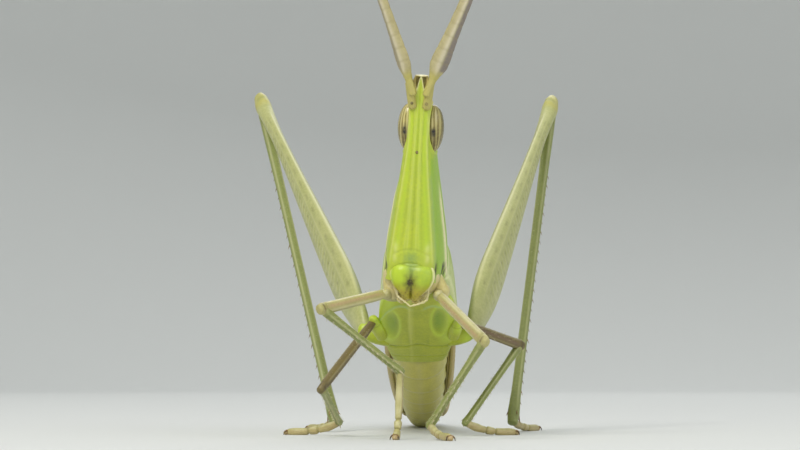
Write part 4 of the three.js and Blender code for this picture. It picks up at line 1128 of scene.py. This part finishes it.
def spine_nodes():
    """Node group that stands a tapering spine on every point, along its aim, with a little chance in size."""
    tree = bpy.data.node_groups.new("spines_on_points", "GeometryNodeTree")
    for name, kind in (("Geometry", "Geometry"), ("Length", "Float"), ("Girth", "Float"),
                       ("Wobble", "Float"), ("Seed", "Int"), ("Finish", "Material")):
        tree.interface.new_socket(name=name, in_out="INPUT", socket_type=f"NodeSocket{kind}")
    tree.interface.new_socket(name="Geometry", in_out="OUTPUT", socket_type="NodeSocketGeometry")
    given = add(tree, "NodeGroupInput").outputs
    cone = add(tree, "GeometryNodeMeshCone", {"Vertices": SPINE_SIDES, "Radius Top": SPINE_TIP * MM,
                                              "Radius Bottom": given["Girth"], "Depth": given["Length"]})
    aim = add(tree, "GeometryNodeInputNamedAttribute", {"Name": "aim"}, data_type="FLOAT_VECTOR")
    size = add(tree, "GeometryNodeInputNamedAttribute", {"Name": "size"}, data_type="FLOAT")
    turn = add(tree, "FunctionNodeAlignRotationToVector", {"Vector": aim.outputs["Attribute"]}, axis="Z")
    least = add(tree, "ShaderNodeMath", {0: 1.0, 1: given["Wobble"]}, operation="SUBTRACT")
    most = add(tree, "ShaderNodeMath", {0: 1.0, 1: given["Wobble"]}, operation="ADD")
    chance = add(tree, "FunctionNodeRandomValue", {2: least.outputs[0], 3: most.outputs[0],
                                                   "Seed": given["Seed"]}, data_type="FLOAT")
    scale = add(tree, "ShaderNodeMath", {0: size.outputs["Attribute"], 1: chance.outputs[1]},
                operation="MULTIPLY")
    spines = add(tree, "GeometryNodeInstanceOnPoints", {
        "Points": given["Geometry"], "Instance": cone.outputs["Mesh"], "Rotation": turn.outputs[0],
        "Scale": scale.outputs[0]})
    real = add(tree, "GeometryNodeRealizeInstances", {"Geometry": spines.outputs[0]})
    dressed = add(tree, "GeometryNodeSetMaterial", {"Geometry": real.outputs[0],
                                                    "Material": given["Finish"]})
    add(tree, "NodeGroupOutput", {"Geometry": dressed.outputs[0]})
    return tree


def grow_spines(name, roots, finish, slot, length, girth):
    """Real spines from (place, aim, seat, size) roots; seats are the roots' places on the leg's unwrap."""
    places, aims, seats, sizes = (np.array(column, float) for column in zip(*roots))
    bed = bpy.data.meshes.new(f"{name}_bed")
    bed.from_pydata(framed(places).tolist(), [], [])
    bed.attributes.new("aim", "FLOAT_VECTOR", "POINT").data.foreach_set("vector", aims.ravel())
    seats = np.concatenate((seats, np.zeros((len(seats), 1))), 1)
    bed.attributes.new("seat", "FLOAT_VECTOR", "POINT").data.foreach_set("vector", seats.ravel())
    bed.attributes.new("size", "FLOAT", "POINT").data.foreach_set("value", sizes)
    holder = placed(f"{name}_bed", bed)
    modifier = holder.modifiers.new("spines", "NODES")
    modifier.node_group = SPINES
    values = {"Length": length * MM, "Girth": girth * MM, "Wobble": SPINE_WOBBLE, "Seed": SPINE_SEED,
              "Finish": finish}
    for socket in SPINES.interface.items_tree:
        if socket.in_out == "INPUT" and socket.name in values:
            modifier[socket.identifier] = values[socket.name]
    seen = bpy.context.evaluated_depsgraph_get()
    mesh = bpy.data.meshes.new_from_object(holder.evaluated_get(seen), preserve_all_data_layers=True,
                                           depsgraph=seen)
    bpy.data.objects.remove(holder)
    bpy.data.meshes.remove(bed)
    mesh.name = name

    corners = np.empty(len(mesh.loops), int)
    mesh.loops.foreach_get("vertex_index", corners)
    seat = np.empty(len(mesh.vertices) * 3)
    mesh.attributes["seat"].data.foreach_get("vector", seat)
    around = corners * 2 * math.pi / SPINE_SIDES
    spots = seat.reshape(-1, 3)[corners, :2] + np.stack((np.cos(around), np.sin(around)), -1) * SEAT_SIZE
    for layer in list(mesh.uv_layers):
        mesh.uv_layers.remove(layer)
    mesh.uv_layers.new(name="OFBake").data.foreach_set("uv", spots.ravel())
    aboard(placed(name, mesh), slot)


SPINES = spine_nodes()
CHANCE = np.random.default_rng(11)


def leg_root(start, end, across, width, t, turn, lean, size):
    """A root on a straight leg joint: t along it, turned round it, its spine leaning towards the foot."""
    along = unit(end - start)
    out = across * math.cos(turn) + unit(np.cross(along, across)) * math.sin(turn)
    place = mix(start, end, t) + out * width * 0.96
    return place, unit(out * (1 - lean) + along * lean), (t, turn / (2 * math.pi) % 1), size


def shin_spines(name, kind, hip, knee, ankle, across, slot):
    """Two rows of spines down the back of a shin and two pairs of spurs at its end."""
    along = unit(ankle - knee)
    away = unit((knee - hip) - along * ((knee - hip) @ along))
    middle = math.atan2(away @ unit(np.cross(along, across)), away @ across)
    roots = []
    for side in (-1, 1):
        for i in range(kind["row"]):
            t = mix(kind["first"], 0.95, (i + 0.25 * (side + 1)) / kind["row"])
            width = float(profile(SHIN_DEPTH, t)) * kind["girth"]
            turn = middle + side * 0.6
            roots.append(leg_root(knee, ankle, across, width, t, turn, 0.55, mix(0.75, 1, t)))
        for spread, size in ((0.75, 1.5), (2.3, 1.2)):
            turn = middle + side * spread
            roots.append(leg_root(knee, ankle, across, 0.3 * kind["girth"], 0.975, turn, 0.72, size))
    finish = CLAW_HORN if kind is HIND else BRISTLE_HORN
    grow_spines(f"shin_spines_{name}", roots, finish, slot, *kind["spine"])


def leg_bristles(name, kind, hip, knee, ankle, across, slot):
    """Sparse short bristles over the shin, and over the thigh of a walking leg."""
    joints = [(knee, ankle, SHIN_DEPTH, kind["girth"], 210)]
    if kind is not HIND:
        joints.insert(0, (hip, knee, WALKING_THICK, 1, 110))
    roots = []
    for start, end, widths, girth, count in joints:
        for t, turn, size in zip(CHANCE.uniform(0.08, 0.96, count), CHANCE.uniform(0, 2 * math.pi, count),
                                 CHANCE.uniform(0.6, 1.2, count)):
            width = float(profile(widths, t)) * girth
            lean = CHANCE.uniform(0.3, 0.65)
            roots.append(leg_root(start, end, across, width, t, turn, lean, size))
    grow_spines(f"bristles_{name}", roots, BRISTLE_HORN, slot, 0.26, 0.012)


def make_hip(name, kind, socket, hip):
    """The stout first joint of the leg, rounded where the thigh turns in it."""
    t = np.linspace(0, 1, 60)
    girth = kind["coxa"] * kind["hip"] * profile([(0, 0.92), (0.4, 1.02), (0.75, 0.95), (1, 0.72)], t)
    sides = 60
    coxa = rod(stretch(socket, mix(socket, hip, 1.1), 0.3, 0, t), vec(0, 1, 0), girth, girth, sides, 2.1)
    seam = hill(t, 0.82, 0.03)[:, None]
    bloom = smooth(0.3, 0.7, t)[:, None] * (0.6 + 0.4 * np.sin(round_of(sides) * 2)[None])
    coxa.relief(-0.03 * seam)
    if kind is FORE:
        coxa.mark(pale=0.5 * bloom, deep=0.3 * seam)
    else:
        coxa.mark(lime=bloom, deep=0.35 * seam)
    piece(f"hip_{name}", [coxa.dome(0.1, 0.42)], STRAW_SHELL if kind is FORE else BREAST_SHELL,
          "breast_green", f"coxa_{name}")


def make_leg(name, kind, root, hip, ankle, swing, toe, reach):
    socket, hip, ankle = trunk_point(*root), trunk_point(*hip), np.array(ankle, float)
    knee = knee_of(hip, ankle, kind["thigh"], kind["shin"], swing * TURN)
    across = unit(np.cross(knee - hip, ankle - knee))
    make_hip(name, kind, socket, hip)
    if kind is HIND:
        piece(f"jumping_thigh_{name}", [hind_thigh(hip, knee, across)], THIGH_SHELL, "thigh_green",
              f"thigh_{name}")
    else:
        piece(f"walking_thigh_{name}", [walking_thigh(hip, knee, across, kind["girth"])],
              MAUVE_SHELL if kind is MIDDLE else STRAW_SHELL, "straw", f"thigh_{name}")
    slot = "straw" if kind is FORE else "shin_green"
    piece(f"shin_{name}_shell", [shin(knee, ankle, across, kind["girth"], 300 if kind is HIND else 120)],
          SHIN_SHELL, slot, f"shin_{name}")
    parts, claws = make_foot(ankle, toe, reach)
    piece(f"foot_{name}_joints", parts, STRAW_SHELL, "straw", f"foot_{name}")
    piece(f"claws_{name}", claws, CLAW_HORN, "straw")
    shin_spines(name, kind, hip, knee, ankle, across, slot)
    leg_bristles(name, kind, hip, knee, ankle, across, slot)


make_head()
make_eyes()
make_ocelli()
for feeler in FEELERS:
    make_feeler(**feeler)
make_lip()
make_jaws()
make_palps()
make_pronotum()
make_thorax()
make_abdomen()
make_tail()
make_wing(-1, "right")
make_wing(1, "left")
for leg in LEGS:
    make_leg(*leg)

# ---------------------------------------------------------------- stage, light and camera
CAMERA_SWING = 1.5 * TURN  # the camera stands a little towards the animal's left
CAMERA_HEIGHT = 5
CAMERA_REACH = 180
AIM_SIDE, AIM_HEIGHT = -1.28, 16.9
VIEW_SCALE = 0.01575  # share of the view's width that a millimetre at the mouth takes
SENSOR = 36


def aimed(thing, way):
    """Turns a camera or a lamp to look that way."""
    thing.rotation_mode = "QUATERNION"
    thing.rotation_quaternion = Vector(way).to_track_quat("-Z", "Y")


def make_camera():
    right = vec(math.cos(CAMERA_SWING), math.sin(CAMERA_SWING), 0)
    ahead = vec(-math.sin(CAMERA_SWING), math.cos(CAMERA_SWING), 0)
    aim = right * AIM_SIDE + vec(0, 0, AIM_HEIGHT)
    stand = aim - ahead * CAMERA_REACH
    stand[2] = CAMERA_HEIGHT
    data = bpy.data.cameras.new("camera")
    data.sensor_width = SENSOR
    data.lens = SENSOR * VIEW_SCALE * np.linalg.norm(aim - stand)
    data.clip_start, data.clip_end = 0.01, 10
    camera = placed("camera", data)
    camera.location = framed(stand)
    aimed(camera, aim - stand)
    bpy.context.scene.camera = camera


FLOOR_FLAT, FLOOR_CURVE, FLOOR_WALL = 0.5, 0.3, 0.6  # metres: flat disc, round of the curve, wall above
FLOOR_SIDES = 96


def make_floor():
    """Pale paper, flat under the animal and swept up all round it."""
    bend = np.linspace(0, math.pi / 2, 20)[1:]
    flat = [0.02, *np.linspace(0.05, FLOOR_FLAT, 8)]
    out = [*flat, *(FLOOR_FLAT + FLOOR_CURVE * np.sin(bend)), FLOOR_FLAT + FLOOR_CURVE]
    up = [*(0 for _ in flat), *(FLOOR_CURVE * (1 - np.cos(bend))), FLOOR_CURVE + FLOOR_WALL]
    points = [(r * math.cos(a), r * math.sin(a), z) for r, z in zip(out, up) for a in round_of(FLOOR_SIDES)]
    here = np.arange(len(points)).reshape(-1, FLOOR_SIDES)
    ahead = np.roll(here, -1, 1)
    faces = np.stack((here[1:], ahead[1:], ahead[:-1], here[:-1]), -1).reshape(-1, 4).tolist()
    faces += [(len(points), *pair) for pair in zip(here[0].tolist(), ahead[0].tolist())]
    points.append((0, 0, 0))
    mesh = bpy.data.meshes.new("floor")
    mesh.from_pydata(points, [], faces)
    mesh.polygons.foreach_set("use_smooth", [True] * len(mesh.polygons))
    finish = bpy.data.materials.new("matt_paper")
    finish.use_nodes = True
    shader = finish.node_tree.nodes["Principled BSDF"]
    shader.inputs["Base Color"].default_value = linear("d6d8d6")
    shader.inputs["Roughness"].default_value = 0.9
    mesh.materials.append(finish)
    placed("floor", mesh)


LIT_PLACE = (0, -0.015, 0.02)  # where the lamps look, in metres


def make_light():
    world = bpy.data.worlds.new("studio")
    world.use_nodes = True
    sky = world.node_tree.nodes["Background"].inputs
    sky["Color"].default_value = linear("dfe3e6")
    sky["Strength"].default_value = 0.62
    bpy.context.scene.world = world
    for name, place, size, power in (("key", (-0.2, -0.36, 0.39), 0.21, 1.95),
                                     ("fill", (0.39, -0.33, 0.15), 0.45, 1.0),
                                     ("back", (0.08, 0.42, 0.42), 0.45, 1.05)):
        data = bpy.data.lights.new(name, "AREA")
        data.size, data.energy = size, power
        data.color = (1.0, 0.97, 0.92) if name == "key" else (1.0, 1.0, 1.0)
        lamp = placed(name, data)
        lamp.location = place
        aimed(lamp, Vector(LIT_PLACE) - Vector(place))


make_camera()
make_floor()
make_light()
bpy.context.scene.view_settings.view_transform = "Standard"
